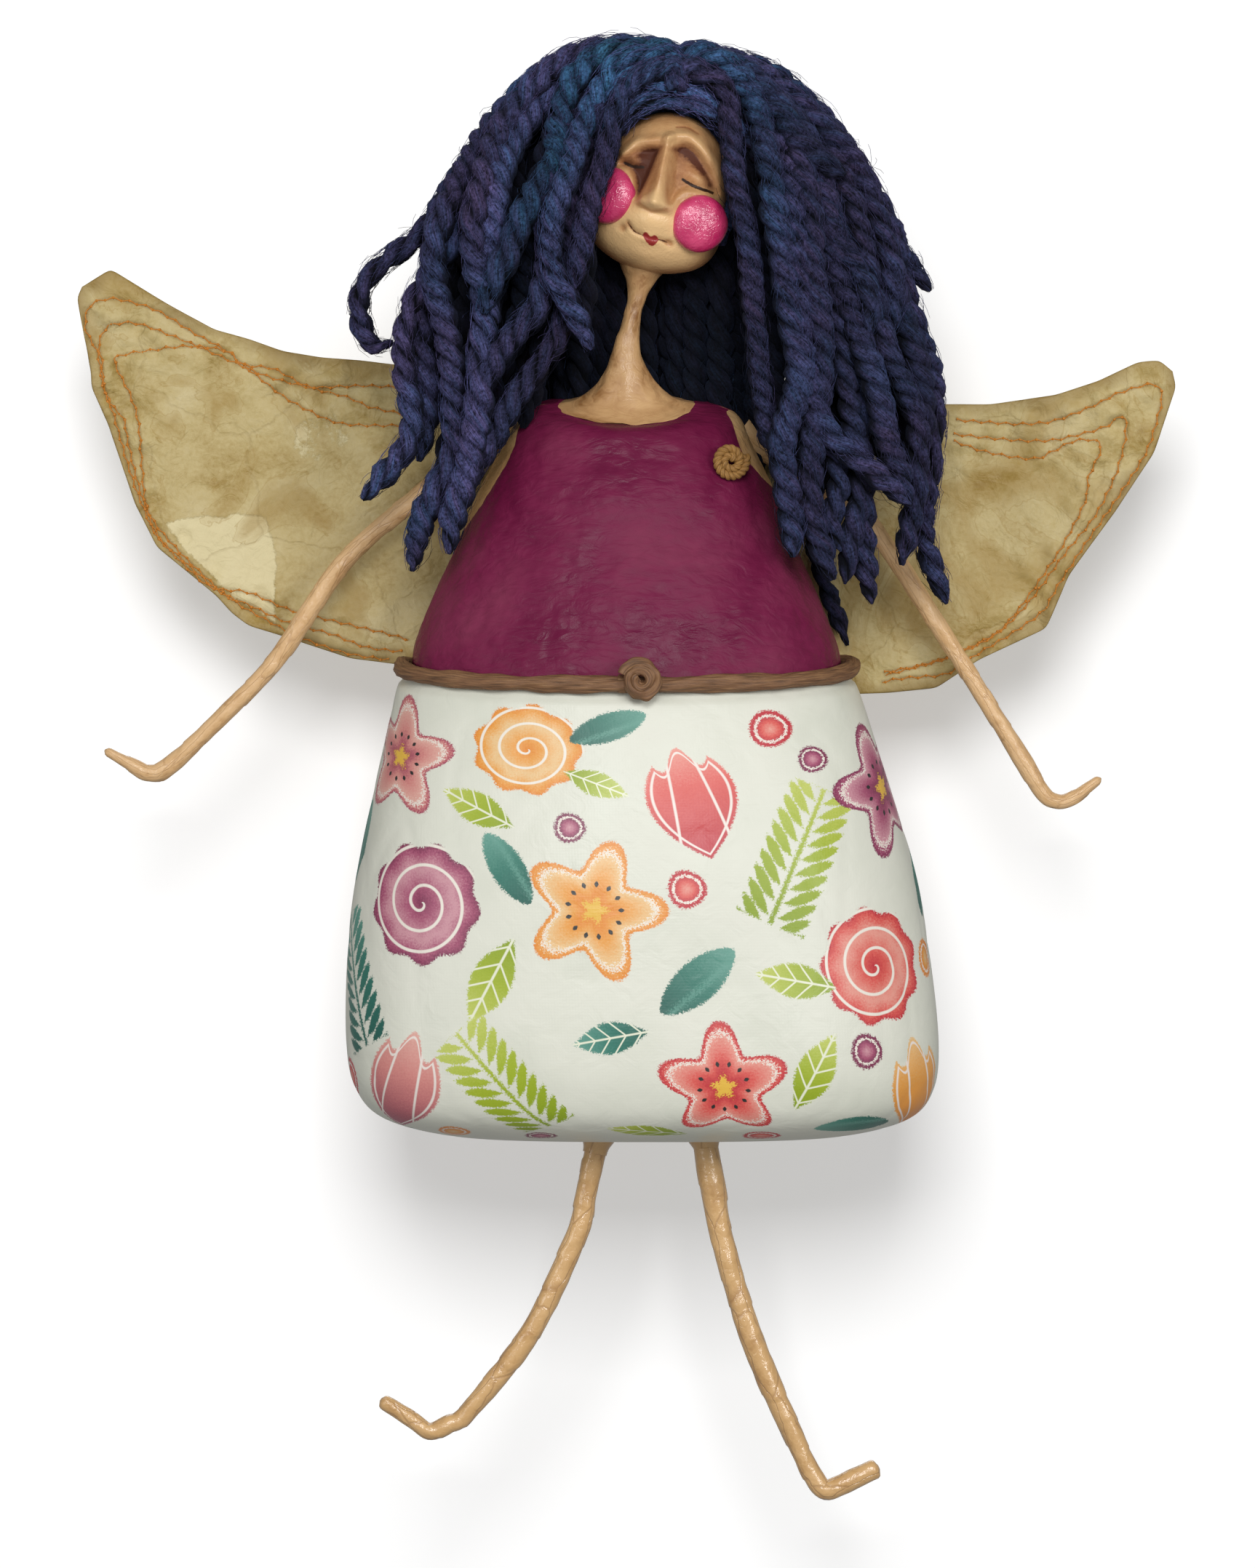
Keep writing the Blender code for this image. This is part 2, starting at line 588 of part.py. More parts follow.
def lock_depth(level, z):
    """A lock's place from front to back: the crown's part of it lies further back."""
    back = CROWN_BACK["by"] * smoothstep((z - CROWN_BACK["from"]) / CROWN_BACK["over"])
    return FRONT_LEVEL_Y + LEVEL_PITCH * level + back


def lock_line(level, layer, side_x, hang_x, tip_x, tip_z):
    """A lock from the parting, over the dome of hair, down beside the face to its tip."""
    out = math.copysign(1.0, side_x - PARTING_X)
    start_x = PARTING_X + out * PARTING_HALF
    crown = CROWN_Z[layer]
    given = [(start_x, crown)]
    for angle in CROWN_ANGLES:
        share = math.sin(math.radians(angle))
        rise = math.cos(math.radians(angle))
        given.append((start_x + (side_x - start_x) * share, SIDE_Z + (crown - SIDE_Z) * rise))
    given += [(side_x, SIDE_Z), (hang_x, HANG_Z)]
    if tip_z < HANG_Z - LONG_DROP:
        given.append((hang_x + (tip_x - hang_x) * LONG_BEND, (HANG_Z + tip_z) / 2))
    given.append((tip_x, tip_z))
    return [Vector((p.x, lock_depth(level, p.z), p.z)) for p in
            smooth_points([(x, 0.0, z) for x, z in given], 2)]


def make_hair():
    """The wool locks of both sides and of the nape."""
    lines = {}
    for side, rows in (("right", RIGHT_LOCKS), ("left", LEFT_LOCKS)):
        for number, row in enumerate(rows, 1):
            lines[f"{side}_hair_lock_{number:02d}"] = lock_line(*row)
    top, bottom = BACK_LOCK_Z
    for number, x in enumerate(BACK_LOCK_X, 1):
        heights = np.linspace(top, bottom, 5)
        lines[f"nape_hair_lock_{number}"] = [Vector((x, BACK_LOCK_Y, z)) for z in heights]
    for name, line in lines.items():
        radii = [LOCK_RADIUS] * len(line)
        radii[-2:] = [LOCK_RADIUS * share for share in LOCK_TIP]
        tube(name, line, radii, WOOL, sides=6)


def flat_piece(name, outline, front_y, thickness, skin, origin_x=0.0):
    """A sheet with this outline, standing across the doll's back."""
    curve = bpy.data.curves.new(name, "CURVE")
    curve.dimensions = "2D"
    curve.fill_mode = "BOTH"
    curve.extrude = thickness / 2 * MM
    spline = curve.splines.new("POLY")
    spline.points.add(len(outline) - 1)
    for place, (x, z) in zip(spline.points, outline):
        place.co = ((x - origin_x) * MM, z * MM, 0.0, 1.0)
    spline.use_cyclic_u = True
    obj = add_object(name, curve, skin, doll, (origin_x, front_y + thickness / 2, 0.0))
    obj.rotation_euler = (math.pi / 2, 0.0, 0.0)
    return obj


def rectangle(half, heights):
    """The outline of a plate this wide each way, between two heights."""
    low, high = heights
    return [(-half, low), (half, low), (half, high), (-half, high)]


def make_back():
    """The wings, their glued middle, the card over it and the loop that hangs the doll."""
    for name, outline in WING_OUTLINES.items():
        hinge = math.copysign(WING_HINGE_X, outline[0][0])
        flat_piece(name, outline, WING_FRONT_Y, WING_THICK, PARCHMENT, hinge)
    middle = rectangle(WING_ROOT_HALF, WING_ROOT_Z)
    flat_piece("wing_root", middle, WING_FRONT_Y, WING_THICK, PARCHMENT)
    card = flat_piece("back_card", rectangle(CARD_HALF, CARD_Z), CARD_FRONT_Y, CARD_THICK, CARD)
    card = as_mesh(card)

    top = CARD_Z[1] + LOOP_HEIGHT
    arc = np.linspace(math.pi, 0.0, 9)
    centre = top - LOOP_HALF
    bow = [Vector((LOOP_HALF * math.cos(a), LOOP_Y, centre + LOOP_HALF * math.sin(a))) for a in arc]
    foot = Vector((0.0, 0.0, CARD_Z[1] - LOOP_DEPTH - centre))
    line = [bow[0] + foot] + bow + [bow[-1] + foot]
    tube("hanging_loop", line, [LOOP_WIRE] * len(line), STEEL)
    deeper = Vector((0.0, 0.0, -BORE_SPARE))
    holes = bore("hanging_loop", [line[0] + deeper] + line[1:-1] + [line[-1] + deeper], LOOP_WIRE + GAP)
    cut(card, holes)


def ring_outside(half_width, z, angle, distance):
    """A point this far outside the body's section."""
    here = section_point(half_width, z, np.array([angle]))[0]
    ahead = section_point(half_width, z, np.array([angle + 0.01]))[0]
    side = Vector(ahead - here).cross(Vector((0.0, 0.0, 1.0))).normalized()
    return Vector(here) + side * distance


def coil(name, place, skin):
    """A cord wound into a flat rosette against the front of the body."""
    cord, pitch = place["cord"], place["pitch"]
    points = []
    steps = int(24 * place["turns"])
    for i in range(steps + 1):
        angle = 2 * math.pi * i / 24
        radius = pitch * (COIL_START + angle / (2 * math.pi))
        points.append(Vector((radius * math.cos(angle), 0.0, radius * math.sin(angle))))
    obj = tube(name, points, [cord] * len(points), skin, sides=6)
    profile = BODICE_PROFILE + SKIRT_PROFILE
    half = float(np.interp(-place["z"], [-z for _, z in profile], [r for r, _ in profile]))
    angle = -math.acos((place["x"] - AXIS_X) / half)
    front = ring_outside(half, place["z"], angle, cord + place["lift"])
    turn = math.atan2(place["x"] - AXIS_X, -front.y / FRONT_RATIO)
    obj.location = Vector((front.x, front.y, place["z"])) * MM
    obj.rotation_euler = (0.0, 0.0, turn)
    return obj


def make_trim():
    """The belt, its knot and the rosette on the chest."""
    front = -math.pi / 2
    angles = np.linspace(front + BELT_OPENING, front + 2 * math.pi - BELT_OPENING, 37)
    line = [ring_outside(BELT_HALF_WIDTH, WAIST_Z, a, BELT_RADIUS + GAP) for a in angles]
    tube("belt_cord", line, [BELT_RADIUS] * len(line), TWINE)
    coil("belt_rosette", BELT_ROSETTE, TWINE)
    coil("chest_rosette", CHEST_ROSETTE, OCHRE)


paper_core = make_body()
make_collars()
head_piece, neck_piece = make_head()
make_neck_wire([paper_core, neck_piece, head_piece])
make_hair()
for limb_name in LIMB_ROUTES:
    make_limb(limb_name)
make_back()
make_trim()
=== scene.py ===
import functools
import math

import bmesh
import bpy
import numpy as np
from mathutils import Euler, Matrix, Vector


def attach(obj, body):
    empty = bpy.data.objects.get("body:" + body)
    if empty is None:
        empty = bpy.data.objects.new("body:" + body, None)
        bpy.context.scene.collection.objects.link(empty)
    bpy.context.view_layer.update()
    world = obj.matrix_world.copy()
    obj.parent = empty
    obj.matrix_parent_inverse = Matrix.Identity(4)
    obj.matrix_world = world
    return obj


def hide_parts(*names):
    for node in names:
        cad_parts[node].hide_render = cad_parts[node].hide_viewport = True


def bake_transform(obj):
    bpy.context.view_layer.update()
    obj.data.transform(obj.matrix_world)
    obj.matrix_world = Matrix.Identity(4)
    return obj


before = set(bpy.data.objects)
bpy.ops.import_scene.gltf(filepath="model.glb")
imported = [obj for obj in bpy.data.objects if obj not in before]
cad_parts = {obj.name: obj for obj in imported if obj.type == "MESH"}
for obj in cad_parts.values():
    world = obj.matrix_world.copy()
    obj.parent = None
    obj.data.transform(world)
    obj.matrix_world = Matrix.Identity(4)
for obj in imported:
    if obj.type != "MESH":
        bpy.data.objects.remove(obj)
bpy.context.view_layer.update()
print("frame loaded")

mm = 0.001
nailPlace = np.array([0.0, 27.95, 8.3])  # the nail, measured from the doll's own middle


def toWorld(points):
    return (np.asarray(points, float) - nailPlace) * mm


# Camera and stage

photo = {"frameHeight": 449.7, "middleX": -2.61, "middleZ": -99.7, "far": 2200.0}


def setCamera():
    data = bpy.data.cameras.new("camera")
    data.sensor_width = 36.0  # the long side, which stands upright here
    data.lens = data.sensor_width * photo["far"] / photo["frameHeight"]
    data.clip_end = 20.0
    camera = bpy.data.objects.new("camera", data)
    camera.location = toWorld((photo["middleX"], -photo["far"], photo["middleZ"]))
    camera.rotation_euler = (math.pi / 2, 0.0, 0.0)
    bpy.context.scene.collection.objects.link(camera)
    bpy.context.scene.camera = camera


setCamera()
bpy.context.scene.view_settings.view_transform = "Standard"
print("camera set")


# Helpers for materials

def linear(code):
    # an sRGB hex colour as linear red, green, blue and alpha
    parts = [int(code[i:i + 2], 16) / 255 for i in (1, 3, 5)]
    return [c / 12.92 if c <= 0.04045 else ((c + 0.055) / 1.055) ** 2.4 for c in parts] + [1.0]


mainSetting = {
    "Math": "operation", "VectorMath": "operation", "Mix": "data_type", "Attribute": "attribute_name",
    "UVMap": "uv_map", "TexVoronoi": "feature", "TexWave": "bands_direction",
}


def fillSockets(node, values):
    # inputs by name or number: another node's output is linked, anything else is set
    for name, value in values.items():
        if isinstance(value, bpy.types.NodeSocket):
            node.id_data.links.new(value, node.inputs[name])
        else:
            node.inputs[name].default_value = value


def addNode(tree, kind, *values, out=None, ramp=(), **settings):
    # a word is the kind's main setting, a dictionary names inputs, and other values fill them in order
    made = tree.nodes.new("ShaderNode" + kind)
    inputs = {}
    for value in values:
        if isinstance(value, str):
            settings[mainSetting[kind]] = value
        elif isinstance(value, dict):
            inputs.update(value)
        else:
            inputs[len(inputs)] = value
    for name, value in settings.items():
        setattr(made, name, value)
    if ramp:
        stops = made.color_ramp.elements
        while len(stops) < len(ramp):
            stops.new(1.0)
        for stop, (at, code) in zip(stops, ramp):
            stop.position = at
            stop.color = linear(code)
    fillSockets(made, inputs)
    return made.outputs[out] if out else next(s for s in made.outputs if s.enabled)


def newMaterial(name, settings):
    material = bpy.data.materials.new(name)
    material.use_nodes = True
    shader = material.node_tree.nodes["Principled BSDF"]
    fillSockets(shader, settings)
    return material, shader, functools.partial(addNode, material.node_tree)


def perMetre(size):
    # how many of a pattern this many millimetres wide fit in a metre
    return 1.0 / (size * mm)


# Helpers for shapes

def smoothStep(value):
    t = np.clip(value, 0.0, 1.0)
    return t * t * (3.0 - 2.0 * t)


def lumps(points, size, seed=0):
    # smooth random heights from -1 to 1, in lumps of this size in millimetres
    cell = np.asarray(points, float) / size + 7.31 * seed
    base = np.floor(cell).astype(np.int64)
    part = smoothStep(cell - base)
    total = np.zeros(len(cell))
    for corner in np.ndindex(2, 2, 2):
        spot = (base + corner) * np.array([73856093, 19349663, 83492791])
        mixed = spot[:, 0] ^ spot[:, 1] ^ spot[:, 2]
        mixed = ((mixed ^ (mixed >> 13)) * 1274126177) & 0x7FFFFFFF
        height = ((mixed ^ (mixed >> 16)) & 0xFFFF) / 32767.5 - 1.0
        total += height * np.prod(np.where(corner, part, 1.0 - part), axis=1)
    return total


def smoothLine(given, step):
    # points about this far apart on a smooth curve through the given ones
    p = np.array(given, float)
    around = np.vstack([2 * p[0] - p[1], p, 2 * p[-1] - p[-2]])
    t = np.linspace(0.0, 1.0, 16, endpoint=False)[:, None]
    fine = []
    for a, b, c, d in zip(around, around[1:], around[2:], around[3:]):
        bend = (2 * a - 5 * b + 4 * c - d) * t ** 2 + (3 * b - a - 3 * c + d) * t ** 3
        fine.append(b + 0.5 * ((c - a) * t + bend))
    fine = np.vstack(fine + [p[-1:]])
    return evenLine(fine, step)


def evenLine(line, step):
    along = lengthAlong(line)
    at = np.linspace(0.0, along[-1], max(3, int(round(along[-1] / step)) + 1))
    return np.stack([np.interp(at, along, column) for column in line.T], axis=1)


def lengthAlong(line):
    return np.concatenate([[0.0], np.cumsum(np.linalg.norm(np.diff(line, axis=0), axis=1))])


def awayFrom(points, line):
    # how far each flat point is from a line, and how far along it the nearest place is
    best = np.full(len(points), 1e9)
    where = np.zeros(len(points))
    start = 0.0
    for a, b in zip(line, line[1:]):
        run = b - a
        size = np.linalg.norm(run)
        t = np.clip((points - a) @ run / max(size * size, 1e-12), 0.0, 1.0)
        far = np.linalg.norm(points - a - t[:, None] * run, axis=1)
        where = np.where(far < best, start + t * size, where)
        best = np.minimum(best, far)
        start += size
    return best, where


def insideOf(points, outline):
    # the distance to a closed outline, positive inside it
    ring = np.vstack([outline, outline[:1]])
    crossings = np.zeros(len(points), bool)
    for a, b in zip(ring, ring[1:]):
        spans = (a[1] > points[:, 1]) != (b[1] > points[:, 1])
        rise = b[1] - a[1] if b[1] != a[1] else 1e-9
        left = points[:, 0] < (b[0] - a[0]) * (points[:, 1] - a[1]) / rise + a[0]
        crossings ^= spans & left
    return np.where(crossings, 1.0, -1.0) * awayFrom(points, ring)[0]


def layGrids(name, sheets):
    # each sheet is a grid of faces whose u and v run from 0 to 1, laid on place(u, v)
    # and welded where it meets itself or another
    work = bmesh.new()
    work.loops.layers.uv.new("UVMap")
    for sheet in sheets:
        bmesh.ops.create_grid(
            work, x_segments=sheet["across"], y_segments=sheet["along"], size=0.5, calc_uvs=True)
    mesh = bpy.data.meshes.new(name)
    work.to_mesh(mesh)
    flat = np.empty(len(mesh.vertices) * 3, np.float32)
    mesh.vertices.foreach_get("co", flat)
    flat = flat.reshape(-1, 3)
    owner = np.empty(len(mesh.loops), np.int32)
    mesh.loops.foreach_get("vertex_index", owner)
    uv = np.empty((len(flat), 2))
    marks = {}
    start = 0
    for sheet in sheets:
        stop = start + (sheet["across"] + 1) * (sheet["along"] + 1)
        u, v = flat[start:stop, 0] + 0.5, flat[start:stop, 1] + 0.5
        laid = sheet["place"](u.astype(float), v.astype(float))
        points, extra = laid if isinstance(laid, tuple) else (laid, {})
        extra = dict(sheet.get("marks", {}), **extra)
        uv[start:stop] = extra.pop("uv", np.stack([u, v], axis=1))
        for key, value in extra.items():
            marks.setdefault(key, np.zeros(len(flat), np.float32))[start:stop] = value
        flat[start:stop] = toWorld(points)
        start = stop
    mesh.vertices.foreach_set("co", flat.ravel())
    mesh.uv_layers["UVMap"].data.foreach_set("uv", uv[owner].astype(np.float32).ravel())
    for key, value in marks.items():
        mesh.attributes.new(key, "FLOAT", "POINT").data.foreach_set("value", value)
    work.clear()
    work.from_mesh(mesh)
    bmesh.ops.remove_doubles(work, verts=work.verts, dist=0.002 * mm)
    loose = [edge for edge in work.edges if not edge.link_faces]
    bmesh.ops.delete(work, geom=loose, context="EDGES")
    bmesh.ops.recalc_face_normals(work, faces=work.faces)
    work.to_mesh(mesh)
    work.free()
    return mesh


def atDepth(flat, y):
    # places across and up, set this far back
    return np.stack([flat[:, 0], np.broadcast_to(y, len(flat)), flat[:, 1]], axis=1)


def nearLine(points, line, width):
    # 1 on the line, falling to nothing within about twice this width
    return np.exp(-((awayFrom(points, line)[0] / width) ** 2))


def alongFrames(line):
    # a side and an up direction for each point, carried along without twist
    tangent = np.gradient(line, axis=0)
    tangent /= np.linalg.norm(tangent, axis=1)[:, None]
    guide = np.array([0.0, 1.0, 0.0]) if abs(tangent[0][1]) < 0.8 else np.array([1.0, 0.0, 0.0])
    side = np.cross(tangent[0], guide)
    sides = []
    for t in tangent:
        side = side - t * (side @ t)
        side = side / np.linalg.norm(side)
        sides.append(side)
    sides = np.array(sides)
    return sides, np.cross(tangent, sides)


def tubeSheet(line, radii, sides, shape=None):
    # a closed round tube along the line, whose first and last rings are drawn to a point
    ends = np.vstack([line[:1], line, line[-1:]])
    radii = np.concatenate([[0.0], np.broadcast_to(radii, len(line)), [0.0]])
    side, up = (np.vstack([d[:1], d, d[-1:]]) for d in alongFrames(line))
    along = lengthAlong(ends)
    girth = 2.0 * math.pi * radii.max()
    last = len(ends) - 1

    def place(u, v):
        ring = np.rint(v * last).astype(int)
        angle = 2.0 * math.pi * u - math.pi / 2
        spread = radii[ring]
        out = side[ring] * np.cos(angle)[:, None] + up[ring] * np.sin(angle)[:, None]
        points = ends[ring] + out * spread[:, None]
        if shape is not None:
            points = points + out * (shape(points, angle, along[ring]) * np.minimum(spread, 1.0))[:, None]
        return points, {"uv": np.stack([u * girth, along[ring]], axis=1)}

    return {"across": sides, "along": last, "place": place}


def ballSheet(across, along, shape):
    # a ball whose front pole line faces the viewer, laid on shape(x, y, z) of a unit ball
    def place(u, v):
        turn = 2.0 * math.pi * u + math.pi / 2
        down = math.pi * v
        ring = np.sin(down)
        ring[(v < 1e-6) | (v > 1.0 - 1e-6)] = 0.0
        return shape(ring * np.cos(turn), ring * np.sin(turn), np.cos(down))

    return {"across": across, "along": along, "place": place}


def addPiece(mesh, material, nodes=(), body="body", bend=None):
    piece = bpy.data.objects.new(mesh.name, mesh)
    bpy.context.scene.collection.objects.link(piece)
    mesh.materials.append(material)
    mesh.shade_smooth()
    if bend:
        toWorld(bend[0])
        toWorld(bend[1])
        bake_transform(piece)
    else:
        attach(piece, body)
    if nodes:
        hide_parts(*nodes)
    return piece


# Body: half width and height down the outer side, with the section flatter behind and on the skirt's front

body = {
    "axisX": -2.8, "lean": 0.043, "front": 0.58, "bodiceBack": 24.0, "skirtBack": 27.0, "backPower": 2.8,
    "skirtPower": 2.7, "flatFrom": -25.0, "flatOver": 70.0,
    "backGrow": 30.0, "backRound": 21.0, "waistZ": -65.6, "waistSlope": (0.17, 0.04), "waistReach": 26.0,
    "neckZ": 9.5, "neckHalf": 20.3, "neckDrop": (-7.0, 3.6), "neckReach": 30.0,
}


def frontPower(z):
    # an ellipse above, flatter in front down the skirt
    flatter = smoothStep((body["flatFrom"] - z) / body["flatOver"])
    return 2.0 / (2.0 + (body["skirtPower"] - 2.0) * flatter)


def sectionPoint(halfWidth, z, angle):
    grown = smoothStep((body["waistZ"] - z) / body["backGrow"])
    back = body["bodiceBack"] + (body["skirtBack"] - body["bodiceBack"]) * grown
    back = back * np.tanh(halfWidth / body["backRound"])
    c, s = np.cos(angle), np.sin(angle)
    power = np.where(s > 0.0, 2.0 / body["backPower"], frontPower(z))
    x = halfWidth * np.sign(c) * np.abs(c) ** power
    y = np.where(s > 0.0, back, -body["front"] * halfWidth) * np.abs(s) ** power
    waist = y * np.where(s > 0.0, body["waistSlope"][1], body["waistSlope"][0])
    waist = waist * np.exp(-(((z - body["waistZ"]) / body["waistReach"]) ** 2))
    neckline = np.where(s > 0.0, body["neckDrop"][1], body["neckDrop"][0]) * np.abs(s) ** power
    neckline = neckline * np.minimum(halfWidth / body["neckHalf"], 1.0)
    neckline = neckline * smoothStep(1.0 + (z - body["neckZ"]) / body["neckReach"])
    lean = body["axisX"] + body["lean"] * np.maximum(0.0, body["waistZ"] - z)
    return np.stack([x + lean, y, z + waist + neckline], axis=-1)


def shellSheet(profile, wall, step, around, swell, marks):
    # an outer skin down the profile and an inner one back up, joined at the rims
    outer = smoothLine(profile, step)
    outer[:, 0] = np.maximum(outer[:, 0], 0.0)
    inner = outer[::-1] - [wall, 0.0]
    inner[:, 0] = np.maximum(inner[:, 0], 0.0)
    if profile[-1][0] == 0.0:
        inner[:, 1] = inner[:, 1] + wall * smoothStep((profile[-1][1] + 8.0 - inner[:, 1]) / 6.0)
    loop = np.vstack([outer, inner, outer[:1]])
    isOuter = np.concatenate([np.ones(len(outer)), np.zeros(len(inner)), [1.0]])
    turns = 2.0 * math.pi * np.linspace(0.0, 1.0, around + 1) + math.pi / 2
    table = sectionPoint(loop[:, :1], loop[:, 1:], turns[None, :])
    arcs = np.cumsum(np.linalg.norm(np.diff(table, axis=1), axis=2), axis=1)
    arcs = np.concatenate([np.zeros((len(loop), 1)), arcs], axis=1)
    arcs = arcs - arcs[:, around // 2:around // 2 + 1]
    down = lengthAlong(loop)

    def place(u, v):
        row = np.rint(v * (len(loop) - 1)).astype(int)
        column = np.rint(u * around).astype(int)
        radius, z = loop[row].T
        points = table[row, column]
        radius = radius + swell(points) * isOuter[row] * np.minimum(radius / 12.0, 1.0)
        points = sectionPoint(radius, z, turns[column])
        extra = marks(points, isOuter[row], turns[column])
        return points, dict(extra, uv=np.stack([arcs[row, column], -down[row]], axis=1))

    return {"across": around, "along": len(loop) - 1, "place": place}


# Bodice: papier-mache under burgundy acrylic, with bare arm openings at the sides

bodice = {
    "profile": [
        (20.3, 9.5), (27.0, 8.5), (32.0, 5.0), (36.0, -3.5), (43.8, -18.8), (49.8, -33.4), (54.0, -42.5),
        (58.4, -52.6), (61.2, -59.5), (62.3, -64.4),
    ],
    "wall": 2.6, "around": 260, "step": 0.9, "lump": 1.0, "lumpSize": 21.0, "crease": 0.22,
    "creaseSize": 6.0, "armholeTop": 7.5, "armholeFoot": (-28.0, -15.0), "armholeAngle": 0.43,
}


def burgundyAcrylic():
    # acrylic paint brushed over pasted paper: satin, with brush drag, paste wrinkles
    # and rubbed paler patches
    material, shader, add = newMaterial("burgundy_acrylic", {"IOR": 1.49, "Specular IOR Level": 0.14})
    place = add("TexCoord", out="Object")
    cloud = add("TexNoise", {"Vector": place, "Scale": perMetre(26), "Detail": 5.0})
    brushed = add("Mapping", {"Vector": place, "Scale": (0.45, 1.0, 1.0), "Rotation": (0.0, 0.5, 0.0)})
    drag = add("TexNoise", {"Vector": brushed, "Scale": perMetre(2.2), "Detail": 4.0})
    tone = add("ValToRGB", cloud, ramp=[(0.3, "#611537"), (0.5, "#6d1c3f"), (0.7, "#782d49")])
    dark = add("MapRange", drag, 0.3, 0.7, 0.92, 1.07)
    paint = add("Mix", "RGBA", {0: 1.0, 6: tone, 7: dark}, blend_type="MULTIPLY")
    edge = add("Attribute", "armhole", out="Fac")
    ragged = add("TexNoise", {"Vector": place, "Scale": perMetre(3.0), "Detail": 3.0})
    ragged = add("Math", "MULTIPLY_ADD", ragged, 1.2, edge)
    bare = add("MapRange", ragged, 0.5, 0.75)
    skin = add("ValToRGB", cloud, ramp=[(0.35, "#bd9362"), (0.65, "#d9b482")])
    colour = add("Mix", "RGBA", {0: bare, 6: paint, 7: skin})
    patchy = add("Math", "MULTIPLY_ADD", drag, 0.3, cloud)
    rough = add("MapRange", patchy, 0.45, 0.85, 0.26, 0.64)
    wrinkle = add("TexNoise", {"Vector": brushed, "Scale": perMetre(3.6), "Detail": 7.0, "Distortion": 1.4})
    fine = add("Math", "MULTIPLY_ADD", drag, 0.3, wrinkle)
    dent = add("TexNoise", {"Vector": place, "Scale": perMetre(14), "Detail": 2.0})
    fine = add("Math", "MULTIPLY_ADD", dent, 4.5, fine)
    bump = add("Bump", {"Strength": 0.8, "Distance": 0.6 * mm, "Height": fine})
    fillSockets(shader, {"Base Color": colour, "Roughness": rough, "Normal": bump})
    return material


def makeBodice():
    def swell(points):
        soft = bodice["lump"] * lumps(points, bodice["lumpSize"], 1)
        crease = np.abs(lumps(points * [1.0, 1.0, 1.6], bodice["creaseSize"], 2))
        return soft - bodice["crease"] * (1.0 - crease) ** 6

    def marks(points, isOuter, angle):
        foot = np.where(points[:, 0] < 0.0, *bodice["armholeFoot"])
        high = (points[:, 2] - foot) / (bodice["armholeTop"] - foot)
        high = np.clip(high, 0.0, 1.0)
        reach = bodice["armholeAngle"] * np.sqrt(4.0 * high * (1.0 - high))
        offSide = np.arccos(np.clip(np.abs(np.cos(angle)), 0.0, 1.0))
        return {"armhole": (reach - offSide) * 30.0}

    sheet = shellSheet(bodice["profile"], bodice["wall"], bodice["step"], bodice["around"], swell, marks)
    mesh = layGrids("bodice", [sheet])
    addPiece(mesh, burgundyAcrylic(), ["bodice_shell"])


makeBodice()
print("bodice made")


# Skirt: printed cotton glued over its shell and varnished

skirt = {
    "profile": [
        (61.8, -66.4), (64.4, -69.8), (66.2, -73.0), (71.0, -90.8), (73.6, -101.0), (80.0, -128.0),
        (83.0, -152.5), (84.5, -174.0), (82.4, -187.0), (75.0, -195.2), (57.5, -200.0), (34.0, -201.5),
        (0.0, -201.5),
    ],
    "wall": 0.8, "around": 230, "step": 1.1, "lump": 0.7, "lumpSize": 30.0, "pleat": 0.35,
    "pleatSize": 11.0, "repeat": 206.0, "thread": 0.45, "varnish": "#e7e7e0",
}

# Each motif: kind, place across and down from the belt, half size, turn in degrees, colours
pinks = ("#b0506a", "#e2918f", "#f0b9b0")
roses = ("#c9303f", "#e8625c", "#f4a79c")
plums = ("#86345a", "#b0567a", "#dba0b0")
oranges = ("#ee8f2c", "#f4a94e", "#f6d09c")
limes = ("#8fa81a", "#aabd2e", "#cdd76c")
teals = ("#1f6259", "#2f7d70", "#6aa79b")
motifs = [
    ("blossom", -70, -26, 21, 10, pinks), ("leaf", -44, -42, 12, 60, limes),
    ("pad", -94, -52, 14, -30, teals), ("rose", -29, -22, 17, 0, oranges), ("pad", -6, -14, 12, -66, teals),
    ("leaf", -10, -34, 10, -115, limes), ("tulip", 16, -36, 19, 14, roses), ("berry", 40, -15, 7, 0, roses),
    ("berry", 52, -26, 5, 0, plums), ("sprig", 46, -56, 23, -24, limes),
    ("blossom", 79, -36, 23, 40, plums), ("leaf", 97, -14, 12, 20, limes),
    ("pad", 100, -62, 13, -20, teals), ("rose", -62, -70, 19, 30, plums),
    ("sprig", -90, -92, 21, 20, teals), ("pad", -36, -60, 12, 30, teals),
    ("leaf", -42, -92, 14, 150, limes), ("blossom", -12, -72, 22, 0, oranges),
    ("berry", 14, -66, 6, 0, roses), ("pad", 16, -92, 14, -50, teals), ("rose", 68, -88, 18, 60, roses),
    ("leaf", 44, -92, 12, 80, limes), ("berry", 92, -86, 6, 0, oranges),
    ("tulip", -70, -120, 18, -20, pinks), ("berry", -97, -120, 6, 0, roses),
    ("sprig", -40, -122, 21, 40, limes), ("blossom", 22, -122, 20, 20, roses),
    ("leaf", -9, -108, 11, 100, teals), ("leaf", 48, -118, 13, -30, limes),
    ("tulip", 84, -122, 18, 16, oranges), ("berry", 64, -112, 5.5, 0, plums),
    ("leaf", 0, -142, 12, 75, limes), ("pad", 60, -138, 13, 100, teals),
    ("berry", -56, -144, 6, 0, oranges), ("pad", -84, -146, 12, -80, teals),
    ("berry", 32, -148, 6, 0, roses), ("berry", -18, -48, 5, 0, plums), ("leaf", -98, -20, 11, 35, limes),
    ("berry", -30, -148, 5, 0, plums), ("leaf", 96, -146, 12, 60, limes),
]


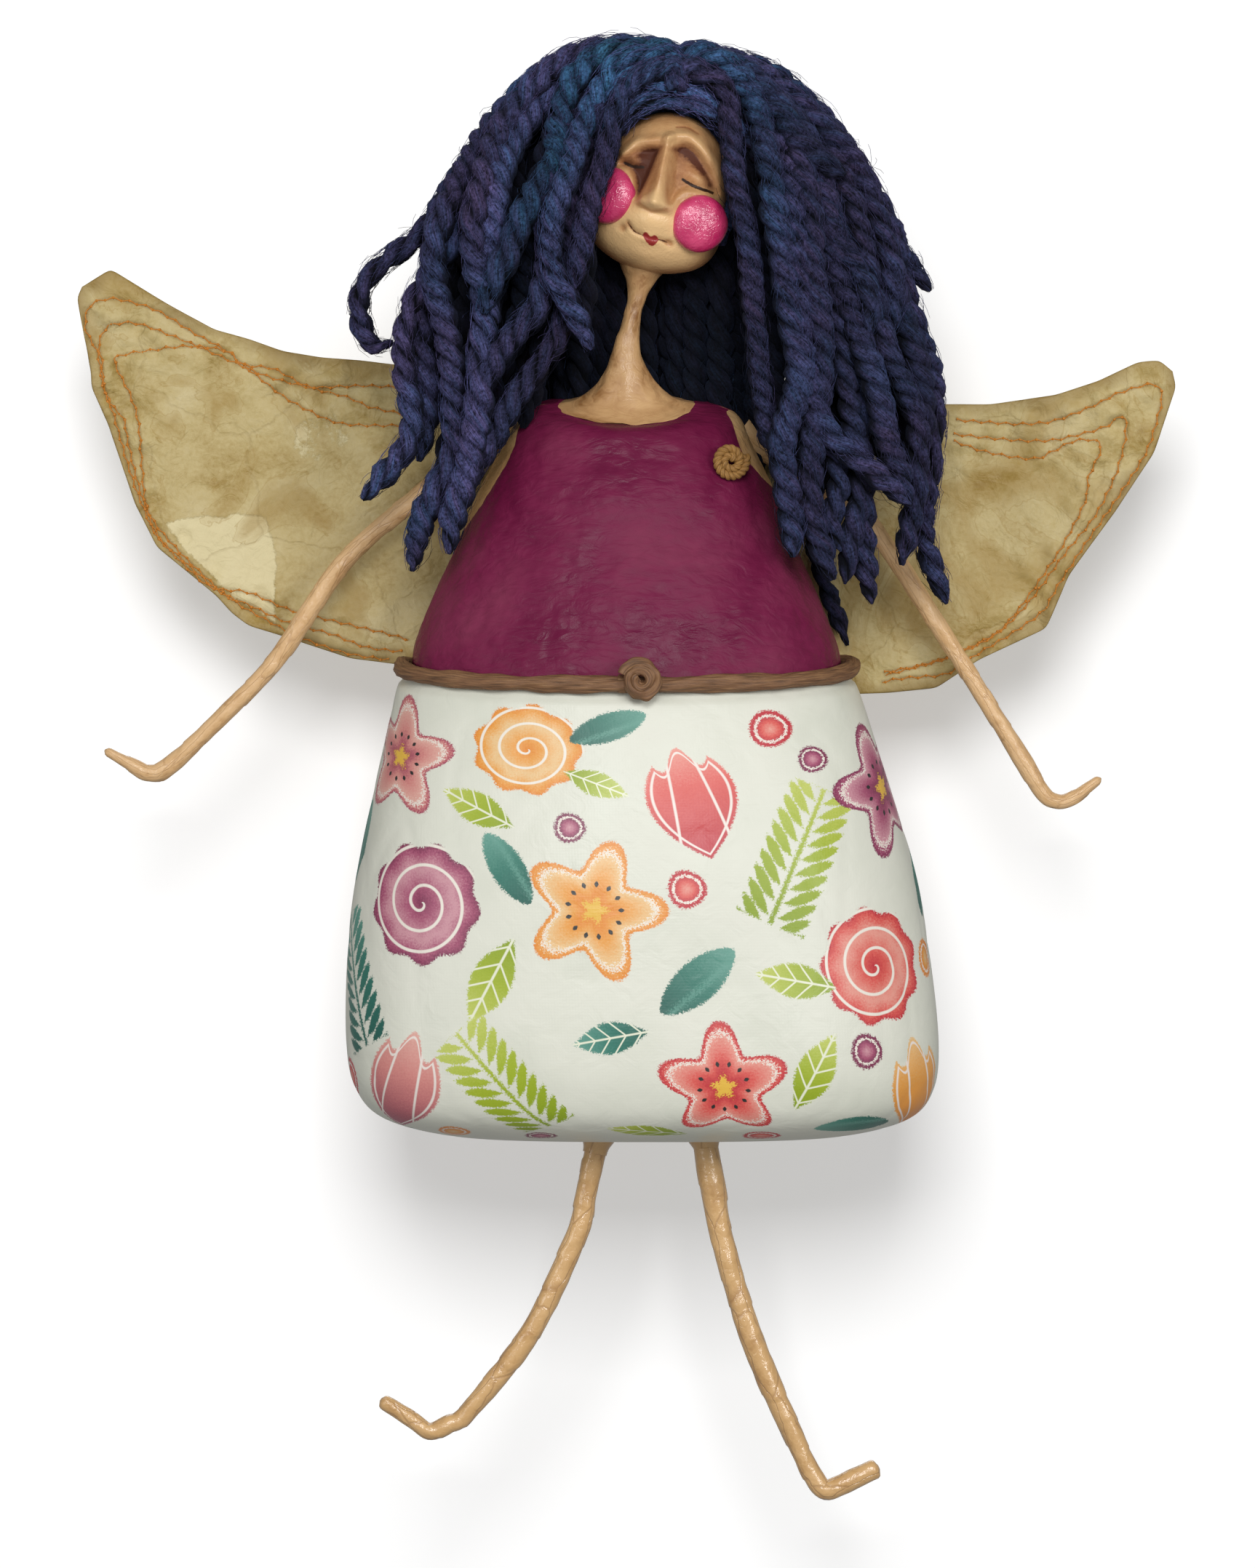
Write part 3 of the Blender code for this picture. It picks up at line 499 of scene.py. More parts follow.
def motifNodes(add, cloth, grain, kind, across, down, size, turn, colours):
    # one printed motif on the flat cloth: its colour and where it covers the ground
    deep, middle, pale = colours
    c, s = math.cos(math.radians(turn)) / size, math.sin(math.radians(turn)) / size
    x = add("Math", "MULTIPLY_ADD", cloth[0], c, -across * c - down * s)
    x = add("Math", "MULTIPLY_ADD", cloth[1], s, x)
    y = add("Math", "MULTIPLY_ADD", cloth[0], -s, across * s - down * c)
    y = add("Math", "MULTIPLY_ADD", cloth[1], c, y)
    sideways = add("Math", "ABSOLUTE", x)
    line = None
    if kind in ("blossom", "rose", "berry"):
        reach = add("Math", "MULTIPLY", x, x)
        reach = add("Math", "MULTIPLY_ADD", y, y, reach)
        reach = add("Math", "SQRT", reach)
        angle = add("Math", "ARCTAN2", y, x)
        petals = {"blossom": 5.0, "rose": 9.0, "berry": 3.0}[kind]
        depth = {"blossom": 0.2, "rose": 0.05, "berry": 0.03}[kind]
        wave = add("Math", "MULTIPLY", angle, petals)
        wave = add("Math", "COSINE", wave)
        edge = add("Math", "MULTIPLY_ADD", wave, depth, 0.95 - depth)
        share = add("Math", "DIVIDE", reach, edge)
        inside = add("Math", "SUBTRACT", edge, reach)
        if kind == "blossom":
            stops = [(0.0, "#f3c34c"), (0.16, "#f3c34c"), (0.2, deep), (0.45, middle), (0.78, pale),
                     (0.8, "#fbf4ee"), (0.845, "#fbf4ee"), (0.87, middle), (1.0, deep)]
            dots = add("Math", "MULTIPLY", angle, 13.0)
            dots = add("Math", "COSINE", dots)
            ring = add("Math", "SUBTRACT", reach, 0.34)
            ring = add("Math", "ABSOLUTE", ring)
            dots = add("Math", "MULTIPLY_ADD", ring, -14.0, dots)
            line = (add("MapRange", dots, 0.35, 0.55), "#2a2a2a")
        elif kind == "rose":
            stops = [(0.0, deep), (0.25, middle), (0.6, pale), (0.85, middle), (1.0, deep)]
            swirl = add("Math", "MULTIPLY_ADD", angle, 0.5 / math.pi, 0.0)
            swirl = add("Math", "MULTIPLY_ADD", reach, 3.2, swirl)
            swirl = add("Math", "PINGPONG", swirl, 0.5)
            line = (add("MapRange", swirl, 0.1, 0.05), "#fbf4ee")
        else:
            stops = [(0.0, pale), (0.4, middle), (0.62, deep), (0.66, "#fbf4ee"), (0.74, "#fbf4ee"),
                     (0.78, deep), (1.0, deep)]
    elif kind in ("leaf", "pad"):
        taper = add("Math", "MULTIPLY", y, math.pi / 2)
        taper = add("Math", "COSINE", taper)
        if kind == "pad":
            taper = add("Math", "POWER", taper, 0.6)
        edge = add("Math", "MULTIPLY", taper, 0.42)
        inside = add("Math", "SUBTRACT", edge, sideways)
        far = add("Math", "ABSOLUTE", y)
        far = add("Math", "SUBTRACT", 1.0, far)
        inside = add("Math", "MINIMUM", inside, far)
        share = add("Math", "MULTIPLY_ADD", y, 0.5, 0.5)
        stops = [(0.0, deep), (0.5, middle), (1.0, pale)]
        if kind == "pad":
            streak = add("Math", "SUBTRACT", x, 0.14)
            streak = add("Math", "ABSOLUTE", streak)
            streak = add("Math", "MULTIPLY_ADD", grain, 0.16, streak)
            line = (add("MapRange", streak, 0.1, 0.0, 0.0, 0.7), pale)
        else:
            vein = add("Math", "MULTIPLY_ADD", sideways, -0.9, y)
            vein = add("Math", "PINGPONG", vein, 0.2)
            rib = add("Math", "MINIMUM", vein, sideways)
            line = (add("MapRange", rib, 0.035, 0.015), "#f4f6e4")
    elif kind == "tulip":
        cup = add("Math", "MULTIPLY_ADD", y, 0.95, 0.1)
        cup = add("Math", "MULTIPLY", cup, cup)
        cup = add("Math", "SUBTRACT", 1.0, cup)
        edge = add("Math", "MULTIPLY", cup, 0.68)
        inside = add("Math", "SUBTRACT", edge, sideways)
        crown = add("Math", "MULTIPLY", x, 10.5)
        crown = add("Math", "COSINE", crown)
        crown = add("Math", "MULTIPLY_ADD", crown, 0.2, 0.6)
        crown = add("Math", "SUBTRACT", crown, y)
        inside = add("Math", "MINIMUM", inside, crown)
        share = add("Math", "MULTIPLY_ADD", y, 0.55, 0.5)
        stops = [(0.0, deep), (0.55, middle), (1.0, pale)]
        petal = add("Math", "SUBTRACT", sideways, 0.27)
        petal = add("Math", "MULTIPLY_ADD", y, 0.12, petal)
        petal = add("Math", "ABSOLUTE", petal)
        rim = add("Math", "SUBTRACT", inside, 0.1)
        rim = add("Math", "ABSOLUTE", rim)
        rim = add("Math", "MINIMUM", rim, petal)
        line = (add("MapRange", rim, 0.03, 0.012), "#fbf0ee")
    else:
        cell = add("Math", "MULTIPLY_ADD", sideways, -0.8, y)
        cell = add("Math", "PINGPONG", cell, 0.2)
        cell = add("Math", "SUBTRACT", cell, 0.1)
        cell = add("Math", "ABSOLUTE", cell)
        run = add("MapRange", sideways, 0.05, 0.5, 0.0, math.pi)
        run = add("Math", "SINE", run)
        blade = add("Math", "MULTIPLY", run, 0.1)
        blade = add("Math", "SUBTRACT", blade, cell)
        brink = add("Math", "SUBTRACT", 0.45, sideways)
        blade = add("Math", "MINIMUM", blade, brink)
        stem = add("Math", "SUBTRACT", 0.035, sideways)
        inside = add("Math", "MAXIMUM", blade, stem)
        far = add("Math", "ABSOLUTE", y)
        far = add("Math", "SUBTRACT", 0.95, far)
        inside = add("Math", "MINIMUM", inside, far)
        share = add("Math", "MULTIPLY_ADD", y, 0.5, 0.5)
        stops = [(0.0, deep), (0.6, middle), (1.0, pale)]
    inside = add("Math", "MULTIPLY", inside, size)
    worn = add("Math", "ADD", inside, grain)
    mask = add("MapRange", worn, -0.1, 0.35)
    mottled = add("Math", "MULTIPLY_ADD", grain, 0.14, share)
    colour = add("ValToRGB", mottled, ramp=stops)
    if line:
        colour = add("Mix", "RGBA", {0: line[0], 6: colour, 7: linear(line[1])})
    return mask, colour


def printedCotton():
    # plain-weave cotton with a floral print, stiff and satin under varnish
    material, shader, add = newMaterial("varnished_printed_cotton", {"IOR": 1.5})
    flat = add("UVMap", "UVMap")
    apart = add("SeparateXYZ", flat).node
    half = skirt["repeat"] / 2
    across = add("Math", "WRAP", apart.outputs[0], half, -half)
    speck = add("TexNoise", {"Vector": flat, "Scale": 1.0 / 0.6, "Detail": 3.0, "Roughness": 0.7})
    grain = add("MapRange", speck, 0.25, 0.75, -0.9, 0.9)
    cloud = add("TexNoise", {"Vector": flat, "Scale": 1.0 / 28.0, "Detail": 4.0})
    colour = add("ValToRGB", cloud, ramp=[(0.3, "#e2e4db"), (0.5, "#eaebe3"), (0.7, "#eeeee7")])
    for motif in motifs:
        mask, ink = motifNodes(add, (across, apart.outputs[1]), grain, *motif)
        colour = add("Mix", "RGBA", {0: mask, 6: colour, 7: ink})
    aged = {0: 1.0, 6: colour, 7: linear(skirt["varnish"])}
    colour = add("Mix", "RGBA", aged, blend_type="MULTIPLY")
    rough = add("MapRange", cloud, 0.3, 0.7, 0.34, 0.5)
    # the threads are 0.3 mm apart, drawn at 0.45 mm so that they show
    weave = []
    for direction in ("X", "Y"):
        weave.append(add("TexWave", direction, {"Vector": flat, "Scale": 1.0 / (skirt["thread"] * 6.0),
                                                "Distortion": 1.2, "Detail": 1.0}, out="Fac"))
    threads = add("Math", "ADD", weave[0], weave[1])
    paste = add("TexNoise", {"Vector": flat, "Scale": 1.0 / 7.0, "Detail": 5.0, "Distortion": 1.0})
    height = add("Math", "MULTIPLY_ADD", threads, 0.02, paste)
    bump = add("Bump", {"Strength": 0.4, "Distance": 0.5 * mm, "Height": height})
    fillSockets(shader, {"Base Color": colour, "Roughness": rough, "Normal": bump})
    return material


def makeSkirt():
    def swell(points):
        soft = skirt["lump"] * (0.75 + lumps(points, skirt["lumpSize"], 3))
        pleat = np.abs(lumps(points * [1.0, 1.0, 0.35], skirt["pleatSize"], 4))
        return soft - skirt["pleat"] * (1.0 - pleat) ** 8

    sheet = shellSheet(skirt["profile"], skirt["wall"], skirt["step"], skirt["around"], swell,
                       lambda points, isOuter, angle: {})
    mesh = layGrids("skirt_cloth", [sheet])
    return addPiece(mesh, printedCotton(), ["skirt_fabric"])


skirtCloth = makeSkirt()
print("skirt made")


# Skin: flesh-coloured acrylic over pasted paper, on the limbs and the neck

def skinAcrylic(name, dark, middle, light, sheen, seams):
    # satin paint, darker where brown antiquing stayed in the folds of the paper
    material, shader, add = newMaterial(name, {"IOR": 1.49, "Coat Weight": sheen, "Coat Roughness": 0.1})
    flat = add("UVMap", "UVMap")
    cloud = add("TexNoise", {"Vector": flat, "Scale": 1.0 / 9.0, "Detail": 4.0})
    fold = add("TexNoise", {"Vector": flat, "Scale": 1.0 / 2.6, "Detail": 5.0, "Distortion": 1.2})
    # edges of the torn strips, long slanting lines
    slant = add("Mapping", {"Vector": flat, "Rotation": (0.0, 0.0, 0.35),
                            "Scale": (1.0 / 7.0, 1.0 / 24.0, 1.0)})
    bent = add("VectorMath", "MULTIPLY_ADD", cloud, (0.5, 0.5, 0.0), slant)
    strip = add("TexVoronoi", "DISTANCE_TO_EDGE", {"Vector": bent, "Scale": 1.0})
    torn = add("MapRange", strip, 0.03, 0.0)
    mixed = add("Math", "MULTIPLY_ADD", fold, 0.5, cloud)
    tone = add("ValToRGB", mixed, ramp=[(0.5, dark), (0.7, middle), (0.95, light)])
    lined = add("Math", "MULTIPLY", torn, seams)
    tone = add("Mix", "RGBA", {0: lined, 6: tone, 7: linear("#8a5a2e")})
    rough = add("MapRange", cloud, 0.3, 0.7, 0.4, 0.55)
    relief = add("Math", "MULTIPLY_ADD", lined, -1.3, fold)
    bump = add("Bump", {"Strength": 0.6, "Distance": 0.4 * mm, "Height": relief})
    fillSockets(shader, {"Base Color": tone, "Roughness": rough, "Normal": bump, "Coat Normal": bump})
    return material


legSkin = skinAcrylic("varnished_flesh_acrylic", "#b68a54", "#cba169", "#d5ac75", 1.0, 0.4)
armSkin = skinAcrylic("satin_flesh_acrylic", "#bf9463", "#d2aa78", "#dbb586", 0.3, 0.3)
neckSkin = skinAcrylic("flesh_acrylic", "#8f6338", "#b98f61", "#caa270", 0.2, 0.05)


# Neck, flaring into the bare shoulders

neck = {
    "profile": [
        (10.5, 54.0), (7.2, 48.8), (4.7, 45.0), (3.3, 41.0), (2.8, 36.5), (3.4, 30.0), (4.8, 23.0),
        (7.8, 16.5), (12.3, 12.0), (16.5, 10.1), (19.8, 9.4), (21.4, 8.4), (21.5, 4.0),
    ],
    "around": 96, "step": 0.7, "depth": (0.58, 0.85), "lean": 6.0, "lump": 0.8, "fine": 0.3,
}


def makeNeck():
    line = np.vstack([[(0.0, 54.0)], smoothLine(neck["profile"], neck["step"]), [(0.0, 4.0)]])
    along = lengthAlong(line)

    def place(u, v):
        row = np.rint(v * (len(line) - 1)).astype(int)
        angle = 2.0 * math.pi * u + math.pi / 2
        radius, z = line[row].T
        x, y = radius * np.cos(angle), radius * np.sin(angle)
        spot = np.stack([x, y, z], axis=1)
        swell = neck["lump"] * lumps(spot * [1.0, 1.0, 0.5], 6.0, 5) + neck["fine"] * lumps(spot, 2.6, 7)
        swell = 1.0 + swell / np.maximum(radius, 3.0)
        low = smoothStep((22.0 - z) / 12.0)
        x = x * swell + body["axisX"] + neck["lean"] * smoothStep((z - 22.0) / 36.0)
        flat = np.where(y > 0.0, neck["depth"][1], neck["depth"][0])
        depth = flat + (1.0 - flat) * smoothStep((z - 12.0) / 16.0)
        slope = np.where(y > 0.0, body["neckDrop"][1], -body["neckDrop"][0]) / body["neckHalf"]
        tilt = slope * y * low
        return np.stack([x, y * swell * depth, z + tilt],
                        axis=1), {"uv": np.stack([u * 40.0, along[row]], axis=1)}

    mesh = layGrids("neck", [{"across": neck["around"], "along": len(line) - 1, "place": place}])
    addPiece(mesh, neckSkin, ["neck_yoke"])


makeNeck()
print("neck made")


# Head: an egg of paper pulp with the features modelled on it, places given across and up from its middle

head = {
    "centre": (7.0, -4.0, 69.0), "turn": (0.0, 16.0, -6.0), "half": (19.0, 16.0, 24.0), "chin": 22.4,
    "jaw": 0.18, "brow": 0.1, "round": (3.0, 2.6), "across": 340, "along": 240,
    "nose": [(-0.6, 15.6), (1.4, -2.8)], "noseBase": [(-3.4, -5.0), (0.8, -6.2), (4.9, -4.6)],
    "brows": [
        [(-0.6, 15.6), (-5.1, 13.8), (-9.5, 12.1), (-12.1, 7.9)],
        [(-0.6, 15.6), (2.5, 17.3), (5.9, 17.5), (12.6, 13.4), (17.7, 7.5)],
    ],
    "eyes": [[(-11.2, 5.4), (-8.5, 5.0), (-5.6, 5.6)], [(6.3, 5.2), (10.2, 4.3), (15.0, 4.1)]],
    "mouth": [(-5.2, -10.9), (-2.8, -12.7), (-0.4, -13.1), (2.6, -13.5), (4.3, -13.1), (6.8, -13.2)],
    "lips": [(-0.3, -12.7), (0.9, -12.1), (2.1, -12.9), (3.4, -12.2), (4.5, -12.9), (4.2, -14.4),
             (3.0, -15.5), (1.0, -14.4)],
    "crease": [(0.8, 12.6), (4.9, 13.3), (10.7, 9.0), (13.7, 6.1)],
    "mark": [(0.3, 19.3), (3.0, 20.0), (6.5, 19.1)],
    "lineWidths": {"mouth": 0.75, "mark": 0.4, "crease": 1.1}, "baseWidth": 0.55, "browWidth": 1.5,
    "bulges": {
        "rightNostril": ((-2.8, -3.7), (1.7, 1.6)), "leftNostril": ((4.8, -3.5), (1.8, 1.6)),
        "tip": ((1.1, -3.6), (2.7, 1.9)), "rightLid": ((-8.4, 7.2), (3.4, 2.2)),
        "leftLid": ((10.8, 6.6), (5.0, 2.4), -20.0), "muzzle": ((1.0, -8.5), (6.5, 5.0)),
        "lower": ((1.0, -14.0), (16.0, 11.0)), "chin": ((1.5, -18.0), (5.5, 3.6)),
        "rightDimple": ((-6.3, -12.6), (1.3, 1.3)), "leftDimple": ((7.8, -13.3), (1.2, 1.2)),
        "pout": ((2.1, -14.0), (2.6, 1.5)), "rightNoseShadow": ((-3.8, 5.0), (2.8, 8.5)),
    },
    "bridge": {"length": 17.5, "flank": (2.2, 2.4), "soft": (1.4, 1.7), "rise": (2.0, 3.0), "foot": -6.3},
    "heights": {
        "bridge": 1.0, "rightNostril": 1.7, "leftNostril": 1.7, "tip": 1.5, "brows": 1.7, "sockets": -3.2,
        "lids": 2.6, "muzzle": 2.7, "chin": 1.0, "mouth": -0.6, "dimples": -0.7, "pout": 0.8, "mark": -0.25,
    },
    # how much each mark darkens the paint, paler where negative: brown antiquing and painted lines, with
    # painted shade down the right flank of the nose and in the hollow beside it, and painted light that makes
    # the lower face and chin paler
    "stainsAndShade": {
        "mouth": 0.5, "dimples": 0.6, "mark": 0.7, "base": 0.4, "lower": -0.8, "shaded": 0.7,
        "rightNoseShadow": 0.6, "crease": 0.5, "bridge": -0.05, "rightNostril": -0.085, "leftNostril": -0.085,
        "tip": -0.075,
    },
    # brown antiquing in the eye sockets, with the doll's right socket darkened further as painted shade
    "socketStainAndShade": {"all": 0.64, "right": 0.4, "lids": 0.35, "deep": 0.2, "brows": 0.22},
    "sockets": [
        [(-1.9, 12.6), (-5.0, 11.9), (-9.0, 10.2), (-12.0, 6.8), (-12.8, 4.4), (-9.5, 3.4), (-7.0, 1.0),
         (-5.6, -3.4), (-3.7, -3.5), (-2.8, 4.0)],
        [(1.2, 13.0), (3.0, 15.2), (5.6, 15.6), (9.2, 13.8), (13.2, 10.0), (16.6, 5.6), (16.8, 3.6),
         (12.0, 3.0), (8.2, 2.4), (6.2, 0.0), (5.8, -2.8), (4.2, -2.6), (2.9, 3.0)],
    ],
}


def headTurned(points):
    turn = np.array(Euler([math.radians(a) for a in head["turn"]]).to_matrix())
    return points @ turn.T + head["centre"]


def bulge(face, centre, radii, turn=0.0):
    c, s = math.cos(math.radians(turn)), math.sin(math.radians(turn))
    off = face - centre
    across = (off[:, 0] * c + off[:, 1] * s) / radii[0]
    upward = (off[:, 1] * c - off[:, 0] * s) / radii[1]
    return np.exp(-(across ** 2 + upward ** 2))


def faceRelief(face):
    # how far the modelled features stand out, and how dark the antiquing and painted shade lie
    u, v = face.T
    part = {name: bulge(face, *spot) for name, spot in head["bulges"].items()}
    for name, width in head["lineWidths"].items():
        part[name] = nearLine(face, smoothLine(head[name], 0.7), width)
    part["base"] = nearLine(face, np.array(head["noseBase"]), head["baseWidth"])
    brows = np.max([nearLine(face, smoothLine(brow, 1.0), head["browWidth"]) for brow in head["brows"]],
                   axis=0)
    inside = np.max([insideOf(face, smoothLine(ring + ring[:1], 0.8)) for ring in head["sockets"]], axis=0)
    sockets = smoothStep((inside + 0.7) / 2.6)
    lids = part["rightLid"] + part["leftLid"]
    part.update(brows=brows, sockets=sockets, lids=lids, dimples=part["rightDimple"] + part["leftDimple"])

    # the nose: sharp at the root, softer and wider towards the tip
    bridge = head["bridge"]
    ridge, down = awayFrom(face, np.array(head["nose"]))
    share = np.clip(down / bridge["length"], 0.0, 1.0)
    flank = np.clip(1.0 - ridge / (bridge["flank"][0] + bridge["flank"][1] * share), 0.0, 1.0)
    soft = np.exp(-((ridge / (bridge["soft"][0] + bridge["soft"][1] * share)) ** 2))
    blunt = flank + (soft - flank) * smoothStep(1.4 * share - 0.3)
    rise = bridge["rise"][0] + bridge["rise"][1] * share
    part["bridge"] = rise * blunt * smoothStep((v - bridge["foot"]) / 1.5)
    # painted shade down the right flank of the nose, fading out towards the tip
    rootX, rootZ = head["nose"][0]
    inShade = smoothStep((rootX + 0.2 - u + 0.11 * (rootZ - v)) / 1.6)
    part["shaded"] = flank * inShade * smoothStep((v + 2.0) / 6.0)

    height = sum(amount * part[name] for name, amount in head["heights"].items())
    dark = sum(amount * part[name] for name, amount in head["stainsAndShade"].items())
    socketDarkening = head["socketStainAndShade"]
    # painted shade: the doll's right socket darker than the left
    right = socketDarkening["right"] * smoothStep(0.5 - u / 4.0)
    deep = smoothStep((inside - 0.4) / 2.4) * smoothStep((v - 7.0) / 6.0)
    dark = dark + sockets * (socketDarkening["all"] + right - socketDarkening["lids"] * lids) + (socketDarkening["deep"] + right) * deep
    return height, dark - socketDarkening["brows"] * brows * (1.0 - sockets)


def paintedFace():
    # flesh acrylic on pulp, rubbed with brown that stays in the hollows; eyes and lips painted on
    # painted shade lies beside the nose and in the right socket, and painted light pales the lower face
    material, shader, add = newMaterial("painted_pulp", {"IOR": 1.49})
    place = add("TexCoord", out="Object")
    cloud = add("TexNoise", {"Vector": place, "Scale": perMetre(8), "Detail": 5.0})
    fine = add("TexNoise", {"Vector": place, "Scale": perMetre(1.1), "Detail": 4.0, "Distortion": 0.6})
    base = add("ValToRGB", cloud, ramp=[(0.3, "#ae7c50"), (0.5, "#c39465"), (0.7, "#d2a876")])
    dark = add("Attribute", "dark", out="Fac")
    # brown antiquing together with painted shade
    stainedAndShaded = add("Math", "MULTIPLY_ADD", fine, 0.5, dark)
    hollow = add("MapRange", stainedAndShaded, 0.3, 1.25)
    shade = add("ValToRGB", hollow, ramp=[(0.0, "#a76a34"), (0.5, "#894a22"), (1.0, "#502410")])
    colour = add("Mix", "RGBA", {0: hollow, 6: base, 7: shade})
    # paler where antiquing was rubbed off the ridges, and on the lower face and chin as painted light
    rubbedAndLit = add("MapRange", dark, -0.12, -0.5)
    colour = add("Mix", "RGBA", {0: rubbedAndLit, 6: colour, 7: linear("#e4bd88")})
    for name, code in (("eyeLine", "#2e1a10"), ("mouthLine", "#4a2414"), ("lips", "#962a28")):
        line = add("Attribute", name, out="Fac")
        line = add("Math", "MULTIPLY_ADD", fine, 0.5, line)
        mask = add("MapRange", line, 0.15, 0.4)
        colour = add("Mix", "RGBA", {0: mask, 6: colour, 7: linear(code)})
    rough = add("MapRange", hollow, 0.0, 0.6, 0.33, 0.7)
    height = add("Math", "MULTIPLY_ADD", cloud, 2.0, fine)
    bump = add("Bump", {"Strength": 0.4, "Distance": 0.4 * mm, "Height": height})
    fillSockets(shader, {"Base Color": colour, "Roughness": rough, "Normal": bump})
    return material


def makeHead():
    def shape(x, y, z):
        power = np.where(z < 0.0, head["round"][0], head["round"][1])
        full = np.sqrt(np.maximum(1.0 - np.abs(z) ** power, 0.0)) / np.maximum(np.hypot(x, y), 1e-6)
        taper = 1.0 - np.where(z < 0.0, head["jaw"], head["brow"]) * z
        points = np.stack([x * full * taper, y * full, z], axis=1) * head["half"]
        points[:, 2] *= np.where(z < 0.0, head["chin"] / head["half"][2], 1.0)
        face = points[:, [0, 2]]
        front = smoothStep(-2.2 * y)
        height, dark = faceRelief(face)
        points[:, 1] -= height * front
        points = points * (1.0 + 0.012 * lumps(points, 9.0, 6)[:, None])
        far = -9.0 * (1.0 - front)
        eyeLine = np.max([0.45 - awayFrom(face, smoothLine(eye, 0.6))[0] for eye in head["eyes"]], axis=0)
        mouthLine = 0.2 - awayFrom(face, smoothLine(head["mouth"], 0.6))[0]
        lips = insideOf(face, smoothLine(head["lips"] + head["lips"][:1], 0.4))
        return headTurned(points), {
            "dark": dark * front, "eyeLine": eyeLine + far, "mouthLine": mouthLine + far,
            "lips": lips + far}

    mesh = layGrids("painted_head", [ballSheet(head["across"], head["along"], shape)])
    addPiece(mesh, paintedFace(), ["head"])


makeHead()
print("head made")


# Cheeks: domed discs of glossy enamel

cheeks = {
    "left": (14.2, -11.5, -5.5), "right": (-12.9, -11.8, -4.7), "radius": 8.2, "half": 4.2, "splay": 22.0,
    "across": 72, "along": 48,
}


def pinkEnamel():
    # thick glossy pink paint, faintly crinkled where it skinned over
    material, shader, add = newMaterial("pink_enamel", {
        "IOR": 1.5, "Roughness": 0.4, "Coat Weight": 1.0, "Coat Roughness": 0.12})
    place = add("TexCoord", out="Object")
    cloud = add("TexNoise", {"Vector": place, "Scale": perMetre(4), "Detail": 3.0})
    tone = add("ValToRGB", cloud, ramp=[(0.35, "#bd225c"), (0.6, "#d03c6e")])
    crinkle = add("TexNoise", {"Vector": place, "Scale": perMetre(1.4), "Detail": 3.0, "Distortion": 1.5})
    bump = add("Bump", {"Strength": 0.8, "Distance": 0.3 * mm, "Height": crinkle})
    fillSockets(shader, {"Base Color": tone, "Normal": bump, "Coat Normal": bump})
    return material


def makeCheeks():
    enamel = pinkEnamel()
    for side in ("left", "right"):
        splay = math.radians(math.copysign(cheeks["splay"], cheeks[side][0]))

        def shape(x, y, z, splay=splay, side=side):
            ring = np.maximum(np.hypot(x, y), 1e-9)
            spread = cheeks["radius"] * ring ** 0.72 / ring
            points = np.stack([x * spread, -cheeks["half"] * np.sign(z) * np.abs(z) ** 0.8, y * spread],
                              axis=1)
            points = points * (1.0 + 0.02 * lumps(points, 4.0, 8)[:, None])
            c, s = math.cos(splay), math.sin(splay)
            turned = np.stack([points[:, 0] * c - points[:, 1] * s, points[:, 0] * s + points[:, 1] * c,
                               points[:, 2]], 1)
            return headTurned(turned + cheeks[side])

        mesh = layGrids(side + "_cheek_disc", [ballSheet(cheeks["across"], cheeks["along"], shape)])
        addPiece(mesh, enamel, [side + "_cheek"])


makeCheeks()
print("cheeks made")


# Hair: lengths of thick two-ply wool laid from a parting over a felted cap
# Each strand on top: how blue it is, its depth at the crown and hanging, its thickness,
# places across and up
# Each strand beneath: depth level, layer, x beside the face, x lower down, tip x, tip z

